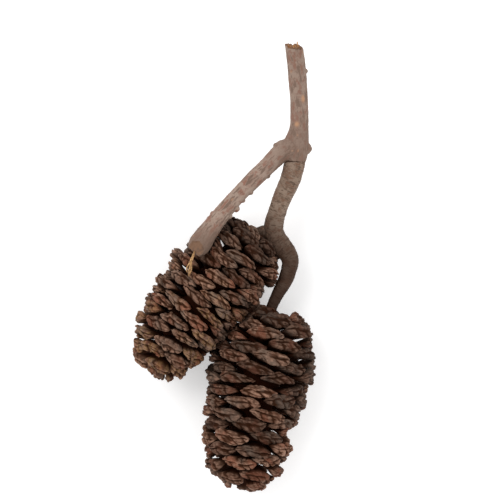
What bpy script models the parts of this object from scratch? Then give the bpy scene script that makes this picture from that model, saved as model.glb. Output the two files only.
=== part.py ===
"""A sprig of alder: two ripe seed cones on a forked twig, lying on a flat surface.

Metres, +Z up. The surface is at Z = 0. The cut end of the twig points to +Y and the
tip of the lower cone to -Y, and the origin is under the middle of the sprig.
"""

import math
import random
from dataclasses import dataclass

import bmesh
import bpy
from mathutils import Matrix, Vector

MM = 0.001
UP = Vector((0.0, 0.0, 1.0))

# How a cone swells and tapers: blunt at the stalk, rounder towards the tip
WIDEST_AT = 0.36
BASE_BLUNTNESS = 3.0
TIP_BLUNTNESS = 2.4
PROFILE_STEPS = 400

# Each cone has one dent, where scales stayed short
DENT_LENGTH = 0.08
DENT_SPREAD = math.radians(48.0)

# The spiral of scales round the spindle
TURN_BETWEEN_SCALES = math.radians(-137.508)
FIRST_SCALE_AT = 0.02
LAST_SCALE_AT = 0.995
FAN_OF_SCALES = 0.80

# The spindle in the middle of a cone: its largest radius as a share of the cone's, the
# stretch of a half wave that its outline follows, and where it starts and ends
SPINDLE_SHARE = 0.46
SPINDLE_WAVE_START = 0.10
SPINDLE_WAVE_END = 0.92
SPINDLE_START_SHARE = 0.07
SPINDLE_END_SHARE = 0.90
SPINDLE_RINGS = 7
SPINDLE_SIDES = 10

# One woody scale: a fan that thickens to a lobed rim. Its root and its corners have a
# share of the rim's thickness
SCALE_WIDTH = 2.20 * MM
SCALE_ROOT_WIDTH = 0.46 * MM
SCALE_ROOT_SHARE = 0.62
SCALE_CORNER_SHARE = 0.50
SCALE_CORNER_AT = 0.80
SCALE_LOBES = 3
SCALE_BOW = 0.07
NOTCH_REACH = 0.925
NOTCH_THICKNESS = 0.90
SCALE_SUNK = 0.55 * MM
LEAST_ROOT_RADIUS = 0.10 * MM
SMALL_CONE_END_WIDTH = 0.55
ROW_TILT = math.radians(-7.0)
LOOSE_TILT = math.radians(7.0)
LOOSE_REACH = 0.04
LOOSE_TURN = math.radians(2.5)
LOOSE_PLACE = 0.10 * MM

# Scales that would cross a stem or the other cone stay shorter, down to this share
SHORTEST_REACH = 0.45
REACH_STEP = 0.04
STEM_CLEARANCE = 0.12 * MM
CONE_CLEARANCE = 0.05 * MM

# The cones press on each other along a plane that leans, so that the side cone overhangs:
# two of its points, and its lean from upright
PARTING_HEIGHT = 4.80 * MM
PARTING_START = (3.05 * MM, -2.05 * MM)
PARTING_END = (-0.55 * MM, -5.72 * MM)
PARTING_LEAN = math.radians(15.0)

# Tubes, and the distance at which points of one surface become one
STEM_BEVEL_RESOLUTION = 3
STEM_POINTS_PER_SPAN = 2
KNOB_SUBDIVISIONS = 1
WELD = 0.001 * MM

# The block below the surface, which trims the lowest rims flat
FLOOR_SIZE = 60.0 * MM
FLOOR_DEPTH = 10.0 * MM

TWIG_COLOUR = (0.287, 0.193, 0.150)
STALK_COLOUR = (0.150, 0.095, 0.065)
CONE_COLOUR = (0.072, 0.042, 0.028)
BARK_ROUGHNESS = 0.75
CONE_ROUGHNESS = 0.70


def mm(x, y, z):
    """A point given in millimetres."""
    return Vector((x, y, z)) * MM


@dataclass(frozen=True)
class Cone:
    """Where one cone lies, how large it is, and where it is dented."""

    name: str
    base: Vector
    tip: Vector
    radius: float
    surface_per_scale: float
    rim_thickness: float
    first_turn: float
    seed: int
    dent_at: float
    dent_turn: float
    dent_depth: float

    @property
    def length(self):
        return (self.tip - self.base).length

    @property
    def axis(self):
        return (self.tip - self.base).normalized()


@dataclass(frozen=True)
class Stem:
    """A stem as its own centre points, each with the radius there."""

    name: str
    stations: tuple


END_CONE = Cone(
    name="cone_end", base=mm(3.30, -2.42, 3.30), tip=mm(1.23, -15.00, 3.30), radius=3.42 * MM,
    surface_per_scale=2.45 * MM * MM, rim_thickness=0.80 * MM, first_turn=math.radians(348.0),
    seed=11, dent_at=0.655, dent_turn=math.radians(84.0), dent_depth=0.20)
SIDE_CONE = Cone(
    name="cone_side", base=mm(2.40, 2.60, 3.20), tip=mm(-4.86, -7.00, 3.20), radius=3.28 * MM,
    surface_per_scale=2.00 * MM * MM, rim_thickness=0.72 * MM, first_turn=math.radians(322.0),
    seed=23, dent_at=0.22, dent_turn=math.radians(-84.0), dent_depth=0.09)

# The older wood: from the cut end down to the seam under the fork
MAIN_TWIG = Stem("twig", (
    (mm(4.83, 14.90, 4.95), 0.59 * MM),
    (mm(5.08, 13.00, 4.88), 0.59 * MM),
    (mm(5.23, 10.60, 4.78), 0.57 * MM),
    (mm(5.18, 9.10, 4.70), 0.64 * MM),
    (mm(5.02, 8.10, 4.62), 0.88 * MM),
    (mm(4.97, 7.14, 4.50), 0.70 * MM),
))
# The twig goes on past the fork and ends in a blunt leaf scar, over the side cone
TWIG_TIP = Stem("twig_tip", (
    (mm(4.70, 8.00, 4.66), 0.66 * MM),
    (mm(3.90, 7.53, 4.82), 0.60 * MM),
    (mm(1.72, 5.35, 5.30), 0.51 * MM),
    (mm(0.49, 4.05, 5.62), 0.52 * MM),
    (mm(-0.73, 2.48, 5.88), 0.64 * MM),
    (mm(-1.37, 1.57, 5.92), 0.74 * MM),
    (mm(-1.74, 1.12, 5.90), 0.50 * MM),
))
# The fruit stalk: from the seam, past the side cone's arm, round to the lower cone
FRUIT_STALK = Stem("fruit_stalk", (
    (mm(4.95, 7.04, 4.48), 0.68 * MM),
    (mm(4.56, 5.70, 4.28), 0.67 * MM),
    (mm(3.88, 4.02, 4.00), 0.59 * MM),
    (mm(3.55, 2.80, 3.72), 0.64 * MM),
    (mm(3.68, 1.95, 3.52), 0.72 * MM),
    (mm(4.38, 1.08, 3.36), 0.61 * MM),
    (mm(4.65, 0.36, 3.32), 0.57 * MM),
    (mm(4.36, -0.72, 3.32), 0.50 * MM),
    (mm(3.92, -1.55, 3.32), 0.42 * MM),
    (mm(3.56, -2.30, 3.32), 0.38 * MM),
    (mm(3.22, -3.12, 3.30), 0.34 * MM),
))
# The short arm that carries the side cone
SIDE_ARM = Stem("side_arm", (
    (mm(3.45, 2.20, 3.55), 0.58 * MM),
    (mm(2.88, 2.34, 3.38), 0.50 * MM),
    (mm(2.12, 2.14, 3.20), 0.38 * MM),
))

# Buds and knobs on the twig: centre and radius
TWIG_KNOBS = (
    (mm(5.68, 7.95, 4.60), 0.48 * MM),
    (mm(5.66, 13.05, 4.90), 0.17 * MM),
    (mm(4.22, 8.22, 4.80), 0.46 * MM),
    (mm(1.93, 4.97, 5.36), 0.26 * MM),
    (mm(0.96, 3.90, 5.60), 0.24 * MM),
    (mm(-0.47, 3.64, 5.72), 0.24 * MM),
)


def clear_scene():
    """Remove everything that the file holds."""
    for scene_object in list(bpy.data.objects):
        bpy.data.objects.remove(scene_object, do_unlink=True)


def new_collection(name):
    """A collection in the scene."""
    collection = bpy.data.collections.new(name)
    bpy.context.scene.collection.children.link(collection)
    return collection


def new_material(name, colour, roughness):
    """A plain woody material."""
    material = bpy.data.materials.new(name)
    material.use_nodes = True
    shader = material.node_tree.nodes["Principled BSDF"]
    shader.inputs["Base Color"].default_value = (*colour, 1.0)
    shader.inputs["Roughness"].default_value = roughness
    shader.inputs["Metallic"].default_value = 0.0
    material.diffuse_color = (*colour, 1.0)
    return material


def mesh_object(name, mesh, collection):
    """An object that shows a mesh."""
    made = bpy.data.objects.new(name, mesh)
    collection.objects.link(made)
    return made


def mesh_from(shape, name):
    """A mesh made from an edited shape, which is then freed."""
    mesh = bpy.data.meshes.new(name)
    shape.to_mesh(mesh)
    shape.free()
    return mesh


def evaluated_mesh(source):
    """The mesh that an object's curve or modifiers make."""
    bpy.context.view_layer.update()
    evaluated = source.evaluated_get(bpy.context.evaluated_depsgraph_get())
    return bpy.data.meshes.new_from_object(evaluated)


def apply_modifiers(target):
    """Give an object the mesh that its modifiers make."""
    made = evaluated_mesh(target)
    target.modifiers.clear()
    target.data = made


def join_with_collection(target, collection, solver):
    """Join everything in a collection to an object, then remove the collection."""
    join = target.modifiers.new("join", "BOOLEAN")
    join.operation = "UNION"
    join.operand_type = "COLLECTION"
    join.collection = collection
    join.solver = solver
    apply_modifiers(target)
    for joined in list(collection.objects):
        bpy.data.objects.remove(joined, do_unlink=True)
    bpy.data.collections.remove(collection)


def set_material(target, material):
    """Give an object one material."""
    target.data.materials.clear()
    target.data.materials.append(material)


def envelope_radius(cone, share):
    """Distance from a cone's axis to its rims, at a share of its length."""
    if share < WIDEST_AT:
        away, bluntness = (WIDEST_AT - share) / WIDEST_AT, BASE_BLUNTNESS
    else:
        away, bluntness = (share - WIDEST_AT) / (1.0 - WIDEST_AT), TIP_BLUNTNESS
    return cone.radius * max(1.0 - away ** bluntness, 0.0) ** (1.0 / bluntness)


def reach_radius(cone, share, turn):
    """Distance from the axis to one scale's rim, less where the cone is dented."""
    along = (share - cone.dent_at) / DENT_LENGTH
    around = math.remainder(turn - cone.dent_turn, 2.0 * math.pi) / DENT_SPREAD
    dent = cone.dent_depth * math.exp(-along * along - around * around)
    return envelope_radius(cone, share) * (1.0 - dent)


def scale_shares(cone):
    """Shares of the length that give every scale the same area of the cone's surface."""
    span = LAST_SCALE_AT - FIRST_SCALE_AT
    shares = [FIRST_SCALE_AT + span * step / PROFILE_STEPS for step in range(PROFILE_STEPS + 1)]
    areas = [0.0]
    for lower, upper in zip(shares, shares[1:]):
        wide = envelope_radius(cone, lower) + envelope_radius(cone, upper)
        rise = envelope_radius(cone, upper) - envelope_radius(cone, lower)
        band = math.pi * wide * math.hypot(rise, (upper - lower) * cone.length)
        areas.append(areas[-1] + band)
    count = round(areas[-1] / cone.surface_per_scale)
    placed = []
    step = 0
    for index in range(count):
        wanted = areas[-1] * (index + 0.5) / count
        while areas[step + 1] < wanted:
            step += 1
        part = (wanted - areas[step]) / (areas[step + 1] - areas[step])
        placed.append(shares[step] + part * (shares[step + 1] - shares[step]))
    return placed


def spindle_radius(cone, share):
    """Radius of the woody spindle inside the scales."""
    wave = SPINDLE_WAVE_START + (SPINDLE_WAVE_END - SPINDLE_WAVE_START) * share
    return SPINDLE_SHARE * cone.radius * math.sin(math.pi * wave)


def scale_outline():
    """A scale's outline from above, one wide and one long, with its thickness at each point."""
    root = 0.5 * SCALE_ROOT_WIDTH / SCALE_WIDTH
    outline = [(-root, 0.0, SCALE_ROOT_SHARE), (root, 0.0, SCALE_ROOT_SHARE)]
    outline.append((0.5, SCALE_CORNER_AT, SCALE_CORNER_SHARE))
    for point in range(2 * SCALE_LOBES - 1):
        across = 0.5 - (point + 1) / (2 * SCALE_LOBES)
        from_middle = (2.0 * across) ** 2
        reach = 1.0 - SCALE_BOW * from_middle
        thickness = 1.0 - (1.0 - SCALE_CORNER_SHARE) * from_middle
        if point % 2:
            reach *= NOTCH_REACH
            thickness *= NOTCH_THICKNESS
        outline.append((across, reach, thickness))
    outline.append((-0.5, SCALE_CORNER_AT, SCALE_CORNER_SHARE))
    return outline


def unit_scale_mesh():
    """A scale one wide, one long and one thick, split into triangles alike on both faces."""
    outline = scale_outline()
    shape = bmesh.new()
    rings = []
    for side in (-0.5, 0.5):
        ring = [shape.verts.new((x, y, side * thickness)) for x, y, thickness in outline]
        middle = shape.verts.new((0.0, 0.5 * SCALE_CORNER_AT, side * SCALE_CORNER_SHARE))
        for index, corner in enumerate(ring):
            shape.faces.new((corner, ring[(index + 1) % len(ring)], middle))
        rings.append(ring)
    lower, upper = rings
    for index in range(len(outline)):
        after = (index + 1) % len(outline)
        shape.faces.new((lower[index], lower[after], upper[after], upper[index]))
    bmesh.ops.recalc_face_normals(shape, faces=shape.faces)
    return mesh_from(shape, "scale")


def distance_to_stem(point, stations):
    """Gap between a point and the surface of a stem."""
    gaps = []
    for (start, start_radius), (end, end_radius) in zip(stations, stations[1:]):
        run = end - start
        part = min(max((point - start).dot(run) / run.length_squared, 0.0), 1.0)
        radius = start_radius + (end_radius - start_radius) * part
        gaps.append((point - start - run * part).length - radius)
    return min(gaps)


def distance_to_parting_plane(point, cone):
    """How far a point lies on its own cone's side of the plane between the cones."""
    through = Vector((*PARTING_START, PARTING_HEIGHT))
    run = (Vector((*PARTING_END, PARTING_HEIGHT)) - through).normalized()
    across = Matrix.Rotation(-PARTING_LEAN, 3, run) @ run.cross(UP)
    if across.dot((cone.base + cone.tip) / 2 - through) < 0.0:
        across = -across
    return across.dot(point - through)


def is_clear(points, cone):
    """Whether a scale keeps clear of the stems and of the other cone."""
    for point in points:
        if distance_to_parting_plane(point, cone) < CONE_CLEARANCE:
            return False
        for stem in (MAIN_TWIG, TWIG_TIP, FRUIT_STALK, SIDE_ARM):
            if distance_to_stem(point, stem.stations) < STEM_CLEARANCE:
                return False
    return True


def scale_matrix(cone, share, turn, tilt, reach_share):
    """Where one scale stands: across, outwards and through its thickness."""
    outward = UP * math.cos(turn) + UP.cross(cone.axis) * math.sin(turn)
    middle = 0.5 + (share - 0.5) * FAN_OF_SCALES
    root_radius = max(spindle_radius(cone, middle) - SCALE_SUNK, LEAST_ROOT_RADIUS)
    root = cone.base + cone.axis * cone.length * middle + outward * root_radius
    tip = cone.base + cone.axis * cone.length * share + outward * reach_radius(cone, share, turn)
    along = (tip - root).normalized()
    across = Matrix.Rotation(tilt, 3, along) @ along.cross(cone.axis).normalized()
    through = across.cross(along)
    roundness = envelope_radius(cone, share) / cone.radius
    width = SCALE_WIDTH * (SMALL_CONE_END_WIDTH + (1.0 - SMALL_CONE_END_WIDTH) * roundness)
    reach = (tip - root).length * reach_share
    columns = (across * width, along * reach, through * cone.rim_thickness)
    return Matrix.Translation(root) @ Matrix(columns).transposed().to_4x4()


def add_scales(cone, mesh, collection):
    """Set the scales round the spindle in the spiral that they grow in."""
    draw = random.Random(cone.seed)
    loose_share = LOOSE_PLACE / cone.length
    for index, even_share in enumerate(scale_shares(cone)):
        even_turn = cone.first_turn + index * TURN_BETWEEN_SCALES
        turn = even_turn + draw.uniform(-LOOSE_TURN, LOOSE_TURN)
        share = min(even_share + draw.uniform(-loose_share, loose_share), LAST_SCALE_AT)
        tilt = ROW_TILT + draw.uniform(-LOOSE_TILT, LOOSE_TILT)
        reach_share = 1.0 + draw.uniform(-LOOSE_REACH, LOOSE_REACH)
        placed = scale_matrix(cone, share, turn, tilt, reach_share)
        while not is_clear([placed @ vertex.co for vertex in mesh.vertices], cone):
            reach_share -= REACH_STEP
            placed = scale_matrix(cone, share, turn, tilt, reach_share)
            if reach_share < SHORTEST_REACH:
                break
        if reach_share >= SHORTEST_REACH:
            scale = mesh_object(f"{cone.name}_scale_{index}", mesh, collection)
            scale.matrix_world = placed


def make_spindle(cone, collection):
    """The woody middle of a cone, turned about the cone's axis."""
    shape = bmesh.new()
    profile = [shape.verts.new((0.0, 0.0, -SPINDLE_START_SHARE * cone.length))]
    for ring in range(SPINDLE_RINGS):
        part = ring / (SPINDLE_RINGS - 1)
        share = SPINDLE_START_SHARE + (SPINDLE_END_SHARE - SPINDLE_START_SHARE) * part
        radius = spindle_radius(cone, share)
        profile.append(shape.verts.new((radius, 0.0, -share * cone.length)))
    profile.append(shape.verts.new((0.0, 0.0, -SPINDLE_END_SHARE * cone.length)))
    for upper, lower in zip(profile, profile[1:]):
        shape.edges.new((upper, lower))
    spindle = mesh_object(cone.name, mesh_from(shape, cone.name), collection)
    turned = spindle.modifiers.new("turn", "SCREW")
    turned.steps = SPINDLE_SIDES
    turned.render_steps = SPINDLE_SIDES
    turned.use_merge_vertices = True
    turned.merge_threshold = WELD
    along_axis = cone.axis.to_track_quat("-Z", "Y").to_matrix().to_4x4()
    spindle.matrix_world = Matrix.Translation(cone.base) @ along_axis
    apply_modifiers(spindle)
    return spindle


def make_cone(cone, scale_mesh, collection, material, floor):
    """One cone: its spindle and scales as a single body, with flat spots to rest on."""
    body = make_spindle(cone, collection)
    scales = new_collection(f"{cone.name} scales")
    add_scales(cone, scale_mesh, scales)
    join_with_collection(body, scales, "MANIFOLD")
    trim = body.modifiers.new("trim", "BOOLEAN")
    trim.operation = "DIFFERENCE"
    trim.object = floor
    apply_modifiers(body)
    set_material(body, material)


def make_stem(stem, collection):
    """A stem as a smooth tube through its stations, made into a closed mesh."""
    curve = bpy.data.curves.new(stem.name, "CURVE")
    curve.dimensions = "3D"
    curve.resolution_u = STEM_POINTS_PER_SPAN
    curve.bevel_depth = 1.0
    curve.bevel_resolution = STEM_BEVEL_RESOLUTION
    curve.use_fill_caps = True
    spline = curve.splines.new("BEZIER")
    spline.bezier_points.add(len(stem.stations) - 1)
    for point, (centre, radius) in zip(spline.bezier_points, stem.stations):
        point.co = centre
        point.radius = radius
        point.handle_left_type = "AUTO"
        point.handle_right_type = "AUTO"
    tube = bpy.data.objects.new(stem.name, curve)
    collection.objects.link(tube)
    shape = bmesh.new()
    shape.from_mesh(evaluated_mesh(tube))
    place = tube.matrix_world.copy()
    bpy.data.objects.remove(tube, do_unlink=True)
    bmesh.ops.remove_doubles(shape, verts=shape.verts, dist=WELD)
    bmesh.ops.recalc_face_normals(shape, faces=shape.faces)
    made = mesh_object(stem.name, mesh_from(shape, stem.name), collection)
    made.matrix_world = place
    return made


def add_knobs(knobs, collection):
    """Buds and scars as small rounded knobs."""
    for index, (centre, radius) in enumerate(knobs):
        shape = bmesh.new()
        bmesh.ops.create_icosphere(shape, subdivisions=KNOB_SUBDIVISIONS, radius=radius)
        knob = mesh_object(f"knob_{index}", mesh_from(shape, f"knob_{index}"), collection)
        knob.location = centre


def make_twig(collection, material):
    """The twig with its fork, its blunt end and its buds."""
    twig = make_stem(MAIN_TWIG, collection)
    branches = new_collection("twig branches")
    make_stem(TWIG_TIP, branches)
    add_knobs(TWIG_KNOBS, branches)
    join_with_collection(twig, branches, "EXACT")
    set_material(twig, material)


def make_fruit_stalk(collection, material):
    """The stalk of the two cones, with the arm to the side cone."""
    stalk = make_stem(FRUIT_STALK, collection)
    arms = new_collection("stalk arms")
    make_stem(SIDE_ARM, arms)
    join_with_collection(stalk, arms, "EXACT")
    set_material(stalk, material)


def make_floor_cutter(collection):
    """The block below the surface."""
    shape = bmesh.new()
    bmesh.ops.create_cube(shape, size=1.0)
    block = mesh_object("floor_cutter", mesh_from(shape, "floor_cutter"), collection)
    block.scale = (FLOOR_SIZE, FLOOR_SIZE, FLOOR_DEPTH)
    block.location = (0.0, 0.0, -FLOOR_DEPTH / 2)
    block.hide_render = True
    block.display_type = "WIRE"
    return block


def main():
    """Build the sprig."""
    clear_scene()
    sprig = new_collection("alder_cone")
    floor = make_floor_cutter(new_collection("cutters"))
    grey_bark = new_material("grey_bark", TWIG_COLOUR, BARK_ROUGHNESS)
    brown_bark = new_material("brown_bark", STALK_COLOUR, BARK_ROUGHNESS)
    cone_wood = new_material("cone_wood", CONE_COLOUR, CONE_ROUGHNESS)
    scale_mesh = unit_scale_mesh()
    for cone in (END_CONE, SIDE_CONE):
        make_cone(cone, scale_mesh, sprig, cone_wood, floor)
    make_twig(sprig, grey_bark)
    make_fruit_stalk(sprig, brown_bark)


main()
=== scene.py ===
"""Looks of an alder sprig: two ripe seed cones on a forked twig, lying on a pale table.

Metres, +Z up, in the frame of the part. The table is at Z = 0, the broken end of the
twig points to +Y and the tip of the lower cone to -Y. The camera looks straight down.
"""

import logging
import math
import random
from dataclasses import dataclass, field
from enum import Enum
from functools import partial
from itertools import product
from typing import Any, Callable

import bmesh
import bpy
import numpy as np
from mathutils import Matrix, Vector
from mathutils.kdtree import KDTree


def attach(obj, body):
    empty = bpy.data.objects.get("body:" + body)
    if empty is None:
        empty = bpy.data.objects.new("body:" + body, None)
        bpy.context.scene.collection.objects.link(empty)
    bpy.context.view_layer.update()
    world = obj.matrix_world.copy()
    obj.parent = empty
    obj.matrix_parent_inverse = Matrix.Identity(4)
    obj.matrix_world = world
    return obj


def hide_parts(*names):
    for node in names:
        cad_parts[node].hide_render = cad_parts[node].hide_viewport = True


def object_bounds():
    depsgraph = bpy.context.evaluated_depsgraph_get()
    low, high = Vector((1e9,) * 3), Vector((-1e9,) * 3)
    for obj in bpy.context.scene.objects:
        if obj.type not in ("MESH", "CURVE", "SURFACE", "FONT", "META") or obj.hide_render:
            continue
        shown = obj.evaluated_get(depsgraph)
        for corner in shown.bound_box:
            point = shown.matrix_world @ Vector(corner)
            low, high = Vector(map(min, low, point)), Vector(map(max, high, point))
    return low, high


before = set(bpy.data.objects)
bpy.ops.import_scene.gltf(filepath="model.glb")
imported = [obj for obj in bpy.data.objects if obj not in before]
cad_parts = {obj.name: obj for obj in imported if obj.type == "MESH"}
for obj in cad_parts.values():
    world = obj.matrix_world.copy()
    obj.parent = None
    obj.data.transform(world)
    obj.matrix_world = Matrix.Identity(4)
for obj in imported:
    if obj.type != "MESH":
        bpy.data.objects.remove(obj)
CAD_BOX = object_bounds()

LOG = logging.getLogger("alder_sprig")
BODY = "root"
MM = 0.001
UP = Vector((0.0, 0.0, 1.0))

Colour = tuple[float, float, float]
Station = tuple[Vector, float]


class Slot(Enum):
    """The record's material slots."""

    GREY_BARK = "grey_bark"
    BROWN_BARK = "brown_bark"
    CONE_WOOD = "cone_wood"


class Channel(Enum):
    """What a mesh's points tell its material."""

    RIM = "rim"
    CREST = "crest"
    SCALE_TINT = "scale_tint"
    LOBE_TINT = "lobe_tint"
    AGE = "age"
    BARE = "bare_wood"
    LENTICEL = "lenticel"
    PLACE = "grain_place"


def mm(x: float, y: float, z: float) -> Vector:
    """A point given in millimetres."""
    return Vector((x, y, z)) * MM


def smooth_step(low: float, high: float, value: np.ndarray) -> np.ndarray:
    """Rise smoothly from 0 at low to 1 at high.

    Args:
        low: Where the rise starts.
        high: Where the rise ends.
        value: The numbers to map.

    Returns:
        A number from 0 to 1 for each value.
    """
    share = np.clip((value - low) / (high - low), 0.0, 1.0)
    return share * share * (3.0 - 2.0 * share)


@dataclass(frozen=True)
class Photograph:
    """How the pixels of the photograph lie on the part."""

    side: int = 500
    pixels_per_mm: float = 15.0
    origin_column: float = 220.5
    origin_row: float = 268.0

    def spot(self, column: float, row: float, height: float = 0.0) -> Vector:
        """The point of the part seen at a pixel, at a height in millimetres."""
        across = (column - self.origin_column) / self.pixels_per_mm
        along = (self.origin_row - row) / self.pixels_per_mm
        return mm(across, along, height)

    @property
    def width(self) -> float:
        """Width of the pictured square on the table, in metres."""
        return self.side / self.pixels_per_mm * MM


PHOTO = Photograph()


class SolidNoise:
    """Smooth noise in space, the same on each run."""

    CELLS = 32

    def __init__(self, seed: int) -> None:
        """Fill the lattice of random values."""
        lattice = np.random.default_rng(seed)
        self.values = lattice.uniform(-1.0, 1.0, (self.CELLS,) * 3)

    def at(self, points: np.ndarray, grain: float | tuple[float, float, float]) -> np.ndarray:
        """Read the noise at points.

        Args:
            points: Positions, one a row.
            grain: Size of a bump, in the points' unit, alike or for each direction.

        Returns:
            A value from -1 to 1 for each point.
        """
        cells = points / np.asarray(grain)
        low = np.floor(cells).astype(int)
        share = cells - low
        share = share * share * (3.0 - 2.0 * share)
        total = np.zeros(len(points))
        for corner in product((0, 1), repeat=3):
            weight = np.prod(np.where(corner, share, 1.0 - share), axis=1)
            column, row, layer = ((low + corner) % self.CELLS).T
            total += weight * self.values[column, row, layer]
        return total

    def shift(self, points: np.ndarray, grain: float) -> np.ndarray:
        """A small vector at each point, for moving it.

        Args:
            points: Positions, one a row.
            grain: Size of a bump.

        Returns:
            Three values from -1 to 1 for each point.
        """
        apart = self.CELLS * grain / 3.0
        return np.stack([self.at(points + apart * axis, grain) for axis in range(3)], axis=1)


@dataclass
class Skin:
    """A mesh being put together: points, faces and what each point carries."""

    points: list[np.ndarray] = field(default_factory=list)
    faces: list[list[int]] = field(default_factory=list)
    channels: dict[Channel, list[np.ndarray]] = field(default_factory=dict)
    count: int = 0

    def add(self, points: np.ndarray, faces: np.ndarray | list) -> None:
        """Add points and the faces between them, numbered from 0."""
        if isinstance(faces, np.ndarray):
            self.faces.extend((faces + self.count).tolist())
        else:
            self.faces.extend([[corner + self.count for corner in face] for face in faces])
        self.points.append(points)
        self.count += len(points)

    def carry(self, channel: Channel, values: np.ndarray) -> None:
        """Give the points added last their values in a channel."""
        self.channels.setdefault(channel, []).append(values)

    def to_object(self, name: str) -> bpy.types.Object:
        """Make the mesh and show it.

        Args:
            name: Name of the object.

        Returns:
            The new object, in the scene.
        """
        mesh = bpy.data.meshes.new(name)
        mesh.from_pydata(np.vstack(self.points).tolist(), [], self.faces)
        for channel, pieces in self.channels.items():
            values = np.concatenate(pieces)
            kind, slot = ("FLOAT_VECTOR", "vector") if values.ndim == 2 else ("FLOAT", "value")
            layer = mesh.attributes.new(channel.value, kind, "POINT")
            layer.data.foreach_set(slot, values.astype(np.float32).ravel())
        mesh.shade_smooth()
        made = bpy.data.objects.new(name, mesh)
        bpy.context.scene.collection.objects.link(made)
        return made


class Desk:
    """Lays and wires nodes in one shader tree."""

    def __init__(self, tree: bpy.types.NodeTree) -> None:
        """Keep the tree."""
        self.tree = tree

    def node(self, kind: str, settings: dict[str, Any] | None = None, **inputs: Any) -> Any:
        """Add a node.

        Args:
            kind: Type of the node, without its ShaderNode prefix.
            settings: Properties of the node.
            **inputs: Values or sockets by input name, with _ for a space.

        Returns:
            The node.
        """
        made = self.tree.nodes.new("ShaderNode" + kind)
        for name, value in (settings or {}).items():
            setattr(made, name, value)
        for name, value in inputs.items():
            wanted = name.replace("_", " ")
            socket = next(s for s in made.inputs if s.name == wanted and s.enabled)
            self.feed(socket, value)
        return made

    def feed(self, socket: bpy.types.NodeSocket, value: Any) -> None:
        """Give an input a value or a wire."""
        if isinstance(value, bpy.types.NodeSocket):
            self.tree.links.new(value, socket)
        elif isinstance(value, tuple) and socket.type == "RGBA":
            socket.default_value = (*value, 1.0)
        else:
            socket.default_value = value

    def channel(self, channel: Channel) -> bpy.types.NodeSocket:
        """A value or vector that the mesh's points carry."""
        made = self.node("Attribute", {"attribute_name": channel.value})
        return made.outputs["Vector" if channel is Channel.PLACE else "Fac"]

    def math(self, operation: str, first: Any, second: Any = 0.0) -> bpy.types.NodeSocket:
        """One sum on two values."""
        made = self.node("Math", {"operation": operation})
        self.feed(made.inputs[0], first)
        self.feed(made.inputs[1], second)
        return made.outputs[0]

    def band(self, value: Any, low: float, high: float, to_low: float = 0.0,
             to_high: float = 1.0) -> bpy.types.NodeSocket:
        """Map a range smoothly onto another.

        Args:
            value: The value or socket to map.
            low: Where the range starts.
            high: Where the range ends.
            to_low: What low becomes.
            to_high: What high becomes.

        Returns:
            The mapped value.
        """
        made = self.node("MapRange", {"interpolation_type": "SMOOTHSTEP"}, Value=value,
                         From_Min=low, From_Max=high, To_Min=to_low, To_Max=to_high)
        return made.outputs["Result"]

    def mix(self, share: Any, first: Any, second: Any, blend: str = "MIX") -> bpy.types.NodeSocket:
        """Blend two colours.

        Args:
            share: Share of the second colour.
            first: A colour or socket.
            second: A colour or socket.
            blend: How the second goes over the first.

        Returns:
            The colour.
        """
        made = self.node("Mix", {"data_type": "RGBA", "blend_type": blend},
                         Factor=share, A=first, B=second)
        return next(s for s in made.outputs if s.enabled)

    def stretched(self, place: Any, stretch: tuple[float, float, float]) -> bpy.types.NodeSocket:
        """Coordinates stretched so that a texture follows the fibres."""
        made = self.node("VectorMath", {"operation": "MULTIPLY"})
        self.feed(made.inputs[0], place)
        self.feed(made.inputs[1], stretch)
        return made.outputs[0]

    def noise(self, place: Any, scale: Any, detail: float = 3.0,
              roughness: float = 0.55) -> bpy.types.NodeSocket:
        """Smooth noise from 0 to 1."""
        made = self.node("TexNoise", {"noise_dimensions": "3D"}, Vector=place, Scale=scale,
                         Detail=detail, Roughness=roughness)
        return made.outputs["Fac"]


def new_group(name: str, inputs: dict[str, tuple[str, Any]],
              outputs: tuple[str, ...]) -> tuple[Desk, Any, Any]:
    """Start a shader node group.

    Args:
        name: Name of the group.
        inputs: Socket type and default by input name.
        outputs: Names of the outputs, which are all values.

    Returns:
        The desk of the group, its input node and its output node.
    """
    tree = bpy.data.node_groups.new(name, "ShaderNodeTree")
    for socket_name, (kind, default) in inputs.items():
        socket = tree.interface.new_socket(socket_name, in_out="INPUT", socket_type=kind)
        if default is not None:
            socket.default_value = default
    for socket_name in outputs:
        tree.interface.new_socket(socket_name, in_out="OUTPUT", socket_type="NodeSocketFloat")
    desk = Desk(tree)
    entry = tree.nodes.new("NodeGroupInput")
    leave = tree.nodes.new("NodeGroupOutput")
    return desk, entry, leave


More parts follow.
